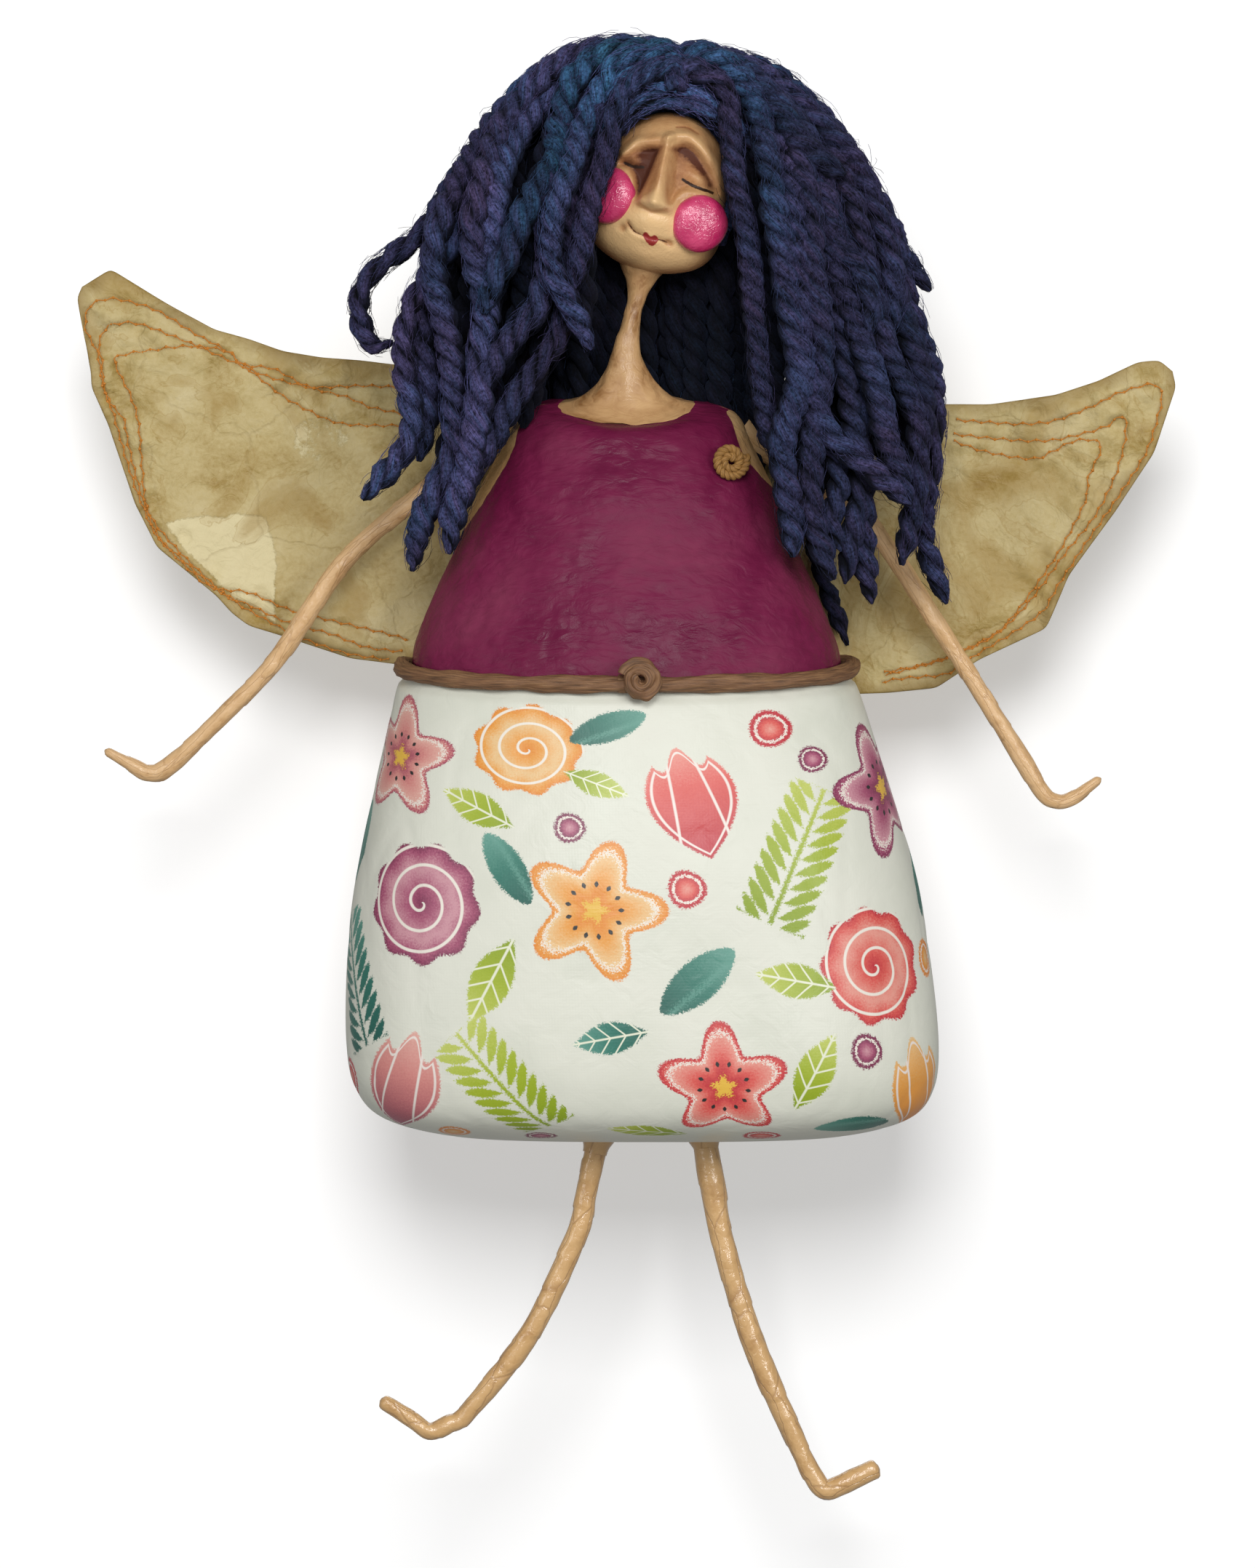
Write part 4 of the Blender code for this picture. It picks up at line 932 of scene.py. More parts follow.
hair = {
    "radius": 3.9, "pitch": 13.5, "plyShare": 0.6, "step": 0.95, "sides": 10, "taper": 9.0, "fibres": 620,
    "fewFibres": 60, "gap": 0.085, "roving": 60.0, "sway": 30.0, "partX": 11.4, "partHalf": 2.6,
    "crown": {"under": 100.0, "over": 105.5}, "sideZ": 67.0, "hangZ": 35.0, "turn": 2.4, "turnSize": 22.0,
    "swell": 0.2, "swellSize": 8.0, "woolly": 0.4, "woollySize": 1.5, "lobe": 0.08,
    "lockTurns": (30.0, 62.0), "lockY": -19.0, "levelStep": 7.2, "crownBack": 8.0,
    "backMiddle": 6.5, "backRows": ((11.4, 0.25, 106.0), (8.0, 0.6, 98.0), (6.5, 0.9, 82.0)), "backLow": 55.0,
    "fibre": {"reach": (3.0, 9.0), "lift": 0.45, "stray": 0.8, "share": (0.0, 0.0, 0.35, 0.7, 1.0, 1.0),
              "rise": (0.0, 0.0, 0.7, 1.0, 1.0, 1.0), "wide": (0.0, 0.08, 0.08, 0.07, 0.05, 0.0)},
    # how bright each group of strands is painted, as painted light and shade: the doll's left side darker
    # than its right, the strands between and beneath darker still, the fringe band brighter
    "lit": {"right": 0.86, "left": 0.58, "front": 0.1, "behind": 0.8, "between": 0.45, "band": 1.3},
    "spread": {"radius": (0.93, 1.07), "pitch": (0.85, 1.2), "tint": (-0.07, 0.07), "lit": (0.6, 1.25)},
    "rising": {"blue": (48.0, 30.0), "teal": (78.0, 26.0), "lit": (85.0, 18.0), "top": (85.0, 25.0)},
    "backOut": (1.0, 1.0), "bandOut": (-1.0, -0.8), "middleX": 3.0, "halfWidth": 90.0,
    "right": [
        (-0.05, -17, -25, 0.95, [(10, 106), (-1.5, 99.5), (-7, 89), (-9.2, 78.5), (-12.6, 69), (-15, 59),
                                 (-16.5, 50), (-18.5, 40)]),
        (0.12, -13, -29, 1.0, [(10, 109), (-3.5, 107), (-9, 99.8), (-13.2, 92), (-16.4, 82.8), (-19.6, 73),
                               (-22.8, 64.7), (-24.4, 55), (-23.3, 44.5), (-18.5, 36), (-12.7, 24)]),
        (0.2, -9, -27, 1.0, [(9, 110.5), (-6, 109.5), (-14.3, 105), (-19.6, 96.6), (-21.7, 87),
                             (-22.4, 77.5), (-27, 71), (-31, 63.5), (-34, 56.5), (-36.6, 49.8), (-40.3, 42),
                             (-43, 34)]),
        (-0.12, -4, -25, 1.05, [(9, 110.5), (-8, 111), (-22.5, 106), (-31.3, 98), (-37.7, 89.5),
                                (-41.8, 80), (-44, 69), (-46.5, 59), (-45.7, 48.5), (-43, 39), (-40, 31)]),
        (0.0, 1, -20, 1.05, [(9, 110), (-14, 110), (-27, 103), (-36.6, 93.5), (-42.5, 86), (-48, 77),
                             (-53, 68), (-56.8, 59), (-58.5, 50), (-57, 39), (-54, 27.5), (-52.5, 15.5),
                             (-52, 5), (-51.5, -4.5), (-55.5, -14), (-60.5, -24), (-63.7, -38.6)]),
        (0.0, 6, -8, 0.85, [(9, 108), (-6, 111), (-17, 108.5), (-27, 101.5), (-37, 92), (-46.5, 80.5),
                            (-53, 72), (-58, 63), (-62.5, 56.5), (-69.5, 51), (-75.5, 45.8), (-79, 39.5),
                            (-78.4, 31.5), (-75, 25.8), (-69.5, 27)]),
        (-0.03, 9, -15, 1.0, [(9, 106), (-28, 98), (-44, 78), (-48, 64), (-55.8, 50), (-63, 39),
                              (-66.5, 28.5), (-66, 17), (-63, 6), (-64.6, -2.4), (-70.5, -10.4),
                              (-78, -18.4)]),
        (-0.02, -2, -23, 1.05, [(9, 105), (-24, 98), (-37, 78), (-41, 58), (-43, 42), (-43.5, 30.5),
                                (-45, 20), (-45, 7), (-46, -3.5), (-48.2, -14), (-51.5, -24),
                                (-52.6, -34.5)]),
        (-0.1, -8, -24, 0.95, [(9, 104), (-18, 88), (-25, 66), (-25, 48), (-28, 35), (-35, 27), (-40, 19.5),
                               (-43, 11)]),
        (-0.1, -12, -21, 1.0, [(9, 103), (-12, 90), (-18, 70), (-19, 48), (-22, 29), (-29, 18),
                               (-35.5, 8.3), (-39, 0.8), (-44, -6.6), (-49.5, -15), (-57.5, -23.5)]),
        (0.05, 4, -13, 1.0, [(9, 106), (-24, 103), (-41, 87), (-51, 66), (-58, 46), (-60.5, 30), (-59, 14),
                             (-60, 0), (-61.5, -8)]),
    ],
    "left": [
        (-0.08, -16, -24, 0.95, [(12, 106), (25, 99), (27, 84), (28, 71.5), (30, 60.5), (31.8, 48.3),
                                 (32.8, 37), (34.2, 25), (35.5, 13), (37, 2), (40, -9)]),
        (0.16, -12, -28, 1.1, [(13, 108.5), (20.5, 108), (28, 102.5), (33, 94.5), (35.6, 84.5),
                               (37.3, 73.7), (38.4, 63.7), (40.6, 52.7), (42.2, 40.5), (43.9, 29.5),
                               (46, 20.7), (45.4, 11.8), (42.2, 3), (40.6, -4.7), (41.7, -13.6),
                               (43.3, -24.6), (43.7, -35)]),
        (0.05, -8, -26, 1.0, [(14, 109), (30, 104), (39, 95.5), (43.8, 87), (47.2, 72.6), (49.4, 59.3),
                              (49.6, 48.3), (51, 37.2), (52.7, 25), (52.2, 13), (50.5, 2), (49.4, -11.4),
                              (49.6, -22.4), (52.7, -33.5), (55.5, -41.5)]),
        (0.02, -10, -27, 1.0, [(14, 107), (28, 103), (41, 91.5), (47.5, 81), (53.8, 76), (59.5, 73)]),
        (0.18, -4, -22, 1.0, [(14, 108), (36, 98), (48.5, 76), (53.8, 63.7), (58.2, 53.8), (64, 44),
                              (66.5, 35), (65.4, 27)]),
        (-0.05, 1, -16, 1.05, [(15, 111), (27, 108), (36.2, 104), (45.5, 96.5), (53.5, 88), (61.5, 78),
                               (66.5, 66.5), (71, 54.5), (73.2, 41.6), (72.4, 29)]),
        (-0.05, -2, -22, 1.0, [(15, 106), (42, 94), (53, 70), (56, 52), (58.2, 41.6), (61.6, 30.6),
                               (66, 19.6), (69.3, 8.5), (71, -1.4), (74.8, -11.4), (78, -21)]),
        (-0.08, 4, -18, 1.0, [(15, 107), (48, 92), (61, 68), (66, 46), (71, 24), (76, 13), (79.5, 2),
                              (79.8, -11.4), (78, -24.6), (75.9, -37)]),
        (0.03, 7, -4, 0.9, [(15, 110), (42, 103), (62.5, 78), (69, 65), (76, 52), (80.5, 46.5),
                            (84.2, 42)]),
        (0.0, 10, -6, 0.95, [(15, 108), (48, 98), (67, 70), (74, 56), (77, 41), (80.5, 30), (83.8, 20),
                             (85.2, 10.7), (85.4, -2.5), (84, -13.6), (82.5, -23.5), (83.1, -32.4),
                             (89, -47.5)]),
        (-0.1, -6, -27, 0.95, [(14, 104), (38, 90), (45, 60), (47, 30), (49, 10), (54.9, -1.4), (62.7, -8),
                               (71, -15), (77.6, -21.3)]),
    ],
    "between": [
        (0.0, -6, -22, 0.9, [(14, 104), (36, 80), (43, 40), (50, 10), (57, -11), (55, -23.5), (58, -33)]),
        (-0.05, 0, -20, 0.95, [(15, 105), (44, 86), (55, 50), (60, 10), (63.8, -16), (61.6, -28),
                               (59.4, -43.5)]),
        (0.0, 4, -16, 0.95, [(15, 106), (48, 88), (60, 55), (63, 20), (64, -15), (64.5, -35), (66.7, -49)]),
        (0.0, 4, -12, 0.95, [(15, 107), (50, 92), (66, 66), (72, 46), (78, 28), (81.5, 14), (82, 2),
                             (80, -8)]),
        (0.0, 13, 19, 0.7, [(44, 30), (46, 5), (49, -18), (54, -40), (61, -60)]),
    ],
    "rightBeneath": [
        (0.6, "under", -14.5, -15, -17, 30), (0.8, "over", -28, -33, -46, 0),
        (1.2, "under", -21, -24.5, -33, 4), (1.4, "over", -36, -42, -55, -14),
        (2.0, "under", -25, -29, -42, 2), (2.2, "over", -43, -50, -61, -2), (2.8, "over", -48, -57, -64, 6),
        (3.0, "under", -31, -37, -50, 0), (3.6, "over", -51, -60, -66, 14),
        (3.8, "under", -37, -46, -56, 6), (4.4, "over", -48, -58, -62, 20),
        (4.6, "under", -30, -38, -48, 10),
    ],
    "leftBeneath": [
        (0.6, "under", 33, 36, 40, -10), (0.8, "over", 44, 49, 53, -20), (1.2, "under", 38, 42, 50, -16),
        (1.4, "over", 52, 59, 64, -26), (2.0, "under", 43, 48, 56, -18), (2.2, "over", 58, 66, 71, -8),
        (2.8, "over", 62, 71, 78, -20), (3.0, "under", 48, 55, 64, -14), (3.6, "over", 64, 74, 80, -10),
        (3.8, "under", 52, 60, 70, -6), (4.4, "over", 61, 71, 77, 0), (4.6, "under", 44, 50, 60, 0),
    ],
    "nape": [(-10.5, 21.4, 14), (-2, 21.4, 14), (6.5, 21.4, 14), (15, 21.4, 14), (23.5, 21.4, 14)],
    "back": [
        (-33, 18, -8), (-25, 18, -6), (-15, 15.5, -4), (-6.5, 14.5, 0), (2.5, 15, 0), (11, 14.5, 0),
        (19.5, 15.5, -4), (28, 18, -8), (36, 18, -10), (-29, 10.5, -6), (-20.5, 11, -2), (-12.5, 12, 0),
        (11.5, 12, 0), (19, 12, -2), (27, 11, -6), (34, 11, -10), (-16.5, 7, 4), (17, 7, 0), (24, 6, -4),
    ],
    "band": [(-15.5, -4.6, 0.8), (-15.0, 0.0, 0.95), (-13.0, 3.5, 1.0), (-6.0, 5.5, 1.0), (2.0, 6.0, 1.0),
             (10.0, 5.0, 1.0), (17.0, 1.0, 1.0)],
    "capHalf": (22.6, 19.8, 29.0),
}


def woolYarn():
    # thick carded wool, matt and fuzzy: navy with teal and purple fibres along each ply,
    # with painted shade between the plies
    material, shader, add = newMaterial("plied_wool", {
        "IOR": 1.54, "Roughness": 0.9, "Specular IOR Level": 0.15, "Sheen Weight": 0.1,
        "Sheen Roughness": 0.5, "Sheen Tint": linear("#6a78a8")})
    flat = add("UVMap", "UVMap")
    # the fibres are far finer than 0.1 mm, drawn in bundles of 0.5 mm
    combed = add("Mapping", {"Vector": flat, "Scale": (1.0 / 0.5, 1.0 / 5.0, 1.0)})
    fibre = add("TexNoise", {"Vector": combed, "Scale": 1.0, "Detail": 4.0, "Roughness": 0.75})
    bundle = add("TexNoise", {"Vector": combed, "Scale": 0.3, "Detail": 2.0})
    place = add("TexCoord", out="Object")
    # tangled fibres, drawn in clumps of 0.9 mm
    tangle = add("TexNoise", {"Vector": place, "Scale": perMetre(0.9), "Detail": 3.0, "Roughness": 0.7})
    woolly = add("Mix", {0: 0.45, 2: fibre, 3: tangle})
    cloud = add("TexNoise", {"Vector": place, "Scale": perMetre(26), "Detail": 2.0})
    tint = add("Attribute", "tint", out="Fac")
    hue = add("Math", "MULTIPLY_ADD", cloud, 0.6, tint)
    hue = add("Math", "MULTIPLY_ADD", bundle, 0.5, hue)
    tone = add("ValToRGB", hue, ramp=[
        (0.38, "#453b5c"), (0.52, "#3c3b5e"), (0.66, "#354164"), (0.84, "#2c4c6d"), (1.0, "#2c546e")])
    # painted shade: darker towards the groove between the plies, where crown is small
    crown = add("Attribute", "crown", out="Fac")
    shade = add("Math", "MULTIPLY_ADD", crown, 2.1, -0.95)
    shade = add("Math", "MAXIMUM", shade, 0.02)
    lit = add("Attribute", "lit", out="Fac")
    shade = add("Math", "MULTIPLY", shade, lit)
    light = add("MapRange", woolly, 0.4, 0.62, 0.12, 2.0)
    light = add("Math", "MULTIPLY", light, shade)
    colour = add("Mix", "RGBA", {0: 1.0, 6: tone, 7: light}, blend_type="MULTIPLY")
    bump = add("Bump", {"Strength": 0.9, "Distance": 0.6 * mm, "Height": woolly})
    fillSockets(shader, {"Base Color": colour, "Normal": bump})
    return material


def strandShade(out, outward):
    # how much light reaches a side of a strand: little on the sides that its neighbours cover
    return hair["gap"] + (1.0 - hair["gap"]) * smoothStep(((out * outward).sum(-1) + 0.15) / 0.75)


def looseFibres(line, radii, outward, lit, count, seed):
    # fuzz: fine fibres that leave a strand and run along it, each a thin tube of four rings drawn to points
    chance = np.random.default_rng(seed)
    side, up = alongFrames(line)
    first = chance.integers(0, len(line), count)[:, None]
    fibre = hair["fibre"]
    reach = chance.uniform(*fibre["reach"], count) * chance.choice([-1.0, 1.0], count)
    reach = reach[:, None] / hair["step"]
    share, wide = np.array(fibre["share"]), np.array(fibre["wide"])
    lift = chance.exponential(fibre["lift"], count)[:, None] * np.array(fibre["rise"])
    spot = np.clip(np.rint(first + reach * share), 0, len(line) - 1).astype(int)
    angle = chance.uniform(0.0, 2.0 * math.pi, (count, 1))
    angle = angle + chance.normal(0.0, fibre["stray"], (count, 1)) * share
    c, s = np.cos(angle)[..., None], np.sin(angle)[..., None]
    out = side[spot] * c + up[spot] * s
    beside = up[spot] * c - side[spot] * s
    shade = lit[spot] * strandShade(out, outward[spot])
    rings = line[spot] + out * (0.9 * radii[spot] + lift)[..., None]
    parts = len(share)

    def place(u, v):
        ring = np.rint(v * (parts * count - 1)).astype(int)
        which, part = ring // parts, ring % parts
        turn = 2.0 * math.pi * u[:, None]
        spread = out[which, part] * np.cos(turn) + beside[which, part] * np.sin(turn)
        # painted light: the loose fibres are painted brighter than the crest of the plies
        extra = {"crown": 1.3, "lit": shade[which, part], "uv": np.stack([u, 3.0 * part + which], axis=1)}
        return rings[which, part] + spread * wide[part][:, None], extra

    return {"across": 3, "along": parts * count - 1, "place": place}


def yarnSheets(line, seed, tint=0.0, thick=1.0, lit=1.0, fibres=0, wander=1.0, pitch=None,
               outside=(-1.0, 1.0)):
    # two twisted plies and the fibres that stand off them
    line = evenLine(np.asarray(line, float), hair["step"])
    along = lengthAlong(line)
    chance = np.random.default_rng(seed)
    spread = {name: chance.uniform(*limits) for name, limits in hair["spread"].items()}
    radius = hair["radius"] * thick * spread["radius"]
    pitch = (pitch or hair["pitch"]) * spread["pitch"]
    tint = tint + spread["tint"]
    thin = np.clip((along[-1] - along) / hair["taper"], 0.03, 1.0) ** 0.5
    track = np.stack([along, np.full(len(along), 31.0 * seed), np.zeros(len(along))], axis=1)
    sway = np.stack([lumps(track, hair["sway"], axis) for axis in (31, 32, 33)], axis=1)
    line = line + sway * (wander * smoothStep(along / 30.0))[:, None]
    side, up = alongFrames(line)
    turn = 1.7 * seed - 2.0 * math.pi * along / pitch + hair["turn"] * lumps(line, hair["turnSize"], seed)
    swell = 1.0 + hair["swell"] * lumps(line, hair["swellSize"], seed)
    high = {name: np.maximum(line[:, 2] - low, 0.0) / over for name, (low, over) in hair["rising"].items()}
    blue = 0.25 + 0.75 * smoothStep(high["blue"])
    teal = 0.16 * smoothStep(high["teal"])
    # painted light: the strands are painted brighter towards the crown
    lit = lit * spread["lit"] * (1.0 + 0.4 * smoothStep(high["lit"]))
    sideways = (line[:, 0] - hair["middleX"]) / hair["halfWidth"]
    outward = np.stack([sideways, np.full(len(line), outside[0]), outside[1] * high["top"]], axis=1)
    outward = outward / np.linalg.norm(outward, axis=1)[:, None]
    sheets = []
    for start in (0.0, math.pi):
        offset = side * np.cos(turn + start)[:, None] + up * np.sin(turn + start)[:, None]
        ply = line + offset * ((1.0 - hair["plyShare"]) * radius * thin)[:, None]

        def strands(points, angle, run):
            fuzz = hair["woolly"] * lumps(points, hair["woollySize"], seed)
            return fuzz + hair["lobe"] * np.cos(5.0 * angle + seed)

        sheet = tubeSheet(ply, hair["plyShare"] * radius * thin * swell, hair["sides"], strands)

        def place(u, v, laid=sheet["place"]):
            # with how far each point is from the middle of the strand, 1 on its outside
            points, extra = laid(u, v)
            ring = np.clip(np.rint(v * (len(line) + 1)).astype(int) - 1, 0, len(line) - 1)
            off = (points - line[ring]) / (radius * thin[ring])[:, None]
            shade = lit[ring] * strandShade(off, outward[ring])
            hue = tint * blue[ring] + teal[ring]
            return points, dict(extra, crown=np.linalg.norm(off, axis=1), lit=shade, tint=hue)

        sheets.append(dict(sheet, place=place))
    sheets.append(looseFibres(line, radius * thin, outward, lit, fibres or hair["fewFibres"], seed))
    sheets[-1]["marks"] = {"tint": 0.5 * tint}
    return sheets


def topLine(crownY, hangY, given):
    x, z = given[0]
    flat = smoothLine([(hair["partX"], z - 8.0), (x, z - 1.5)] + given[1:], 1.0)
    y = crownY + (hangY - crownY) * smoothStep((100.0 - flat[:, 1]) / 40.0)
    return atDepth(flat, y)


def lockLine(level, layer, sideX, hangX, tipX, tipZ):
    start = hair["partX"] + math.copysign(hair["partHalf"], sideX - hair["partX"])
    crown, sideZ, hangZ = hair["crown"][layer], hair["sideZ"], hair["hangZ"]
    given = [(start, crown)]
    for angle in map(math.radians, hair["lockTurns"]):
        given.append((start + (sideX - start) * math.sin(angle), sideZ + (crown - sideZ) * math.cos(angle)))
    given += [(sideX, sideZ), (hangX, hangZ)]
    if tipZ < hangZ - 20.0:
        given.append((hangX * 0.45 + tipX * 0.55, (hangZ + tipZ) / 2))
    given.append((tipX, tipZ))
    line = smoothLine(given, 1.0)
    depth = hair["lockY"] + hair["levelStep"] * level
    return atDepth(line, depth + hair["crownBack"] * smoothStep((line[:, 1] - 55.0) / 50.0))


def backLine(x, y, tipZ):
    # a strand from the crown over the back of the head
    depths = (2.0, y - 3.0, y)
    given = [(start + (x - hair["backMiddle"]) * share, depth, z)
             for (start, share, z), depth in zip(hair["backRows"], depths)]
    return smoothLine(given + [(x, y, hair["backLow"]), (x, y, tipZ)], 1.0)


def bandLine(y, rise):
    given = [(-17, 78), (-10, 88), (-6.5, 92), (-1, 97.5), (6, 100.5), (15, 99.5), (23, 94.5), (28, 88),
             (32, 79)]
    line = smoothLine([(x, z + rise) for x, z in given], 1.0)
    return atDepth(line, y + 0.01 * (line[:, 0] - 6.0) ** 2)


def makeHair():
    wool = woolYarn()
    seed = 1
    for side in ("right", "left"):
        for number, (tint, crownY, hangY, thick, given) in enumerate(hair[side], 1):
            seed += 1
            name = f"{side}_hair_lock_{number:02d}"
            sheets = yarnSheets(topLine(crownY, hangY, given), seed, tint, thick, hair["lit"][side],
                                hair["fibres"])
            addPiece(layGrids(name + "_wool", sheets), wool, [name])
        beneath = []
        for row in hair[side + "Beneath"]:
            seed += 1
            behind = row[0] > 2.5
            lit = hair["lit"]["behind" if behind else "front"]
            outside = hair["backOut"] if behind else (-1.0, 1.0)
            beneath += yarnSheets(lockLine(*row), seed, 0.02, 1.0, lit, wander=2.6, outside=outside)
        addPiece(layGrids(side + "_hair_beneath_wool", beneath), wool)
    between = []
    for tint, crownY, hangY, thick, given in hair["between"]:
        seed += 1
        between += yarnSheets(topLine(crownY, hangY, given), seed, tint, thick, hair["lit"]["between"])
    addPiece(layGrids("hair_between_wool", between), wool)
    for number, row in enumerate(hair["nape"], 1):
        seed += 1
        name = f"nape_hair_lock_{number}"
        sheets = yarnSheets(backLine(*row), seed, 0.25, 1.05, outside=hair["backOut"])
        addPiece(layGrids(name + "_wool", sheets), wool, [name])
    back = []
    for row in hair["back"]:
        seed += 1
        back += yarnSheets(backLine(*row), seed, 0.25, 1.05, outside=hair["backOut"])
    addPiece(layGrids("back_hair_wool", back), wool)

    def capShape(x, y, z):
        egg = np.stack([x * (1.0 - head["jaw"] * z), y, z], axis=1) * head["half"]
        whole = np.stack([x, y, z], axis=1) * hair["capHalf"]
        covered = np.maximum(smoothStep((z - 0.95) / 0.05),
                             smoothStep((y + 0.12) / 0.2) * smoothStep((z + 0.5) / 0.2))
        points = egg * 0.7 + (whole - egg * 0.7) * covered[:, None]
        points = points * (1.0 + 0.03 * lumps(points, 3.0, 9)[:, None])
        uv = np.stack([z * 30.0 + 8.0 * y, x * 22.0], axis=1)
        return headTurned(points), {"tint": 0.1, "crown": 0.95, "lit": 0.8, "uv": uv}

    sheets = [ballSheet(120, 80, capShape)]
    for y, rise, thick in hair["band"]:
        seed += 1
        sheets += yarnSheets(bandLine(y, rise), seed, 0.1, thick, hair["lit"]["band"], hair["fibres"],
                             pitch=hair["roving"], outside=hair["bandOut"])
    addPiece(layGrids("felted_wool_cap", sheets), wool, ["wig_cap"])


makeHair()
print("hair made")


# Belt and rosettes: paper ribbon twisted into cord

belt = {"half": 61.9, "radius": 2.3, "gap": 0.35, "open": -0.02, "twist": 70.0, "lobe": 0.28}
beltKnot = {"x": 0.9, "z": -70.6, "cord": 1.75, "lift": 2.4, "ring": 4.9, "core": 1.3, "turns": 2.1,
            "facing": 1.0}
chestCoil = {"x": 24.9, "z": -7.7, "cord": 1.25, "lift": 2.0, "pitch": 2.0, "turns": 2.05, "twist": 3.0,
             "facing": 0.45}


def paperCord(name, dark, middle, light, coarse):
    # a strip of paper rolled into a cord: dull, with fine fibres that run along it at a slant
    material, shader, add = newMaterial(name, {"IOR": 1.5, "Roughness": 0.62})
    flat = add("UVMap", "UVMap")
    slanted = add("Mapping", {"Vector": flat, "Rotation": (0.0, 0.0, -0.2),
                              "Scale": (1.0 / coarse, 1.0 / (coarse * 16.0), 1.0)})
    fibre = add("TexNoise", {"Vector": slanted, "Scale": 1.0, "Detail": 4.0, "Roughness": 0.6})
    tone = add("ValToRGB", fibre, ramp=[(0.3, dark), (0.52, middle), (0.75, light)])
    bump = add("Bump", {"Strength": 0.8, "Distance": 0.5 * mm, "Height": fibre})
    fillSockets(shader, {"Base Color": tone, "Normal": bump})
    return material


def ringOutside(halfWidth, z, angle, distance):
    here = sectionPoint(halfWidth, z, angle)
    run = sectionPoint(halfWidth, z, angle + 0.01) - here
    side = np.stack([run[:, 1], -run[:, 0]], axis=1)
    side = side / np.linalg.norm(side, axis=1)[:, None]
    here[:, :2] += side * distance
    return here


def onFront(place, points):
    # points of a flat rosette, turned to lie against the front of the body
    profile = np.array(bodice["profile"] + skirt["profile"])
    half = np.interp(-place["z"], -profile[:, 1], profile[:, 0])
    angle = np.array([-math.acos(((place["x"] - body["axisX"]) / half) ** (1.0 / frontPower(place["z"])))])
    front = ringOutside(half, np.full(1, place["z"]), angle, place["cord"] + place["lift"])[0]
    turn = place["facing"] * math.atan2(place["x"] - body["axisX"], -front[1] / body["front"])
    c, s = math.cos(turn), math.sin(turn)
    x, y, z = np.asarray(points).T
    return np.stack([x * c - y * s + front[0], x * s + y * c + front[1], z + place["z"]], axis=1)


def makeBelt():
    brown = paperCord("brown_paper_cord", "#4f3520", "#7a5638", "#94704a", 0.5)
    angles = np.linspace(-math.pi / 2 + belt["open"], 1.5 * math.pi - belt["open"], 700)
    line = ringOutside(belt["half"], np.full(len(angles), body["waistZ"]), angles,
                       belt["radius"] + belt["gap"])
    line = evenLine(line, 0.8)

    def twisted(points, angle, along):
        turn = angle + 2.0 * math.pi * along / belt["twist"]
        return belt["lobe"] * (np.cos(2.0 * turn) + 0.5 * np.cos(7.0 * turn)) + 0.3 * lumps(points, 6.0, 11)

    mesh = layGrids("belt_paper_cord", [tubeSheet(line, belt["radius"], 28, twisted)])
    addPiece(mesh, brown, ["belt_cord"])

    share = np.linspace(0.0, 1.0, 140)
    turns = 2.0 * math.pi * beltKnot["turns"] * share
    ring = beltKnot["core"] + (beltKnot["ring"] - beltKnot["core"]) * share
    flat = np.stack([ring * np.cos(turns + 2.2), -1.6 * (1.0 - share), ring * np.sin(turns + 2.2)], axis=1)

    def crumpled(points, angle, along):
        return 0.3 * np.cos(3.0 * angle + 0.5 * along) + 0.6 * lumps(points, 2.4, 12)

    mesh = layGrids("belt_knot", [tubeSheet(evenLine(onFront(beltKnot, flat), 0.35), beltKnot["cord"], 20,
                                            crumpled)])
    addPiece(mesh, brown, ["belt_rosette"])

    ochre = paperCord("ochre_paper_cord", "#6a4a22", "#9a7038", "#b98d4c", 0.3)
    turns = np.linspace(0.0, 2.0 * math.pi * chestCoil["turns"], 140)
    ring = 0.9 + chestCoil["pitch"] * turns / (2.0 * math.pi)
    flat = np.stack([ring * np.cos(turns), 0.0 * turns, ring * np.sin(turns)], axis=1)
    line = evenLine(onFront(chestCoil, flat), 0.3)
    along = lengthAlong(line)
    side, up = alongFrames(line)
    sheets = []
    for start in (0.0, math.pi):
        turn = start + 2.0 * math.pi * along / chestCoil["twist"]
        ply = line + (side * np.cos(turn)[:, None] + up * np.sin(turn)[:, None]) * 0.48 * chestCoil["cord"]
        sheets.append(tubeSheet(ply, 0.58 * chestCoil["cord"], 12))
    mesh = layGrids("chest_coil", sheets)
    addPiece(mesh, ochre, ["chest_rosette"])


makeBelt()
print("belt made")


# Limbs: paper wrapped round wire, the hand or foot bent up and drawn to a blunt tip

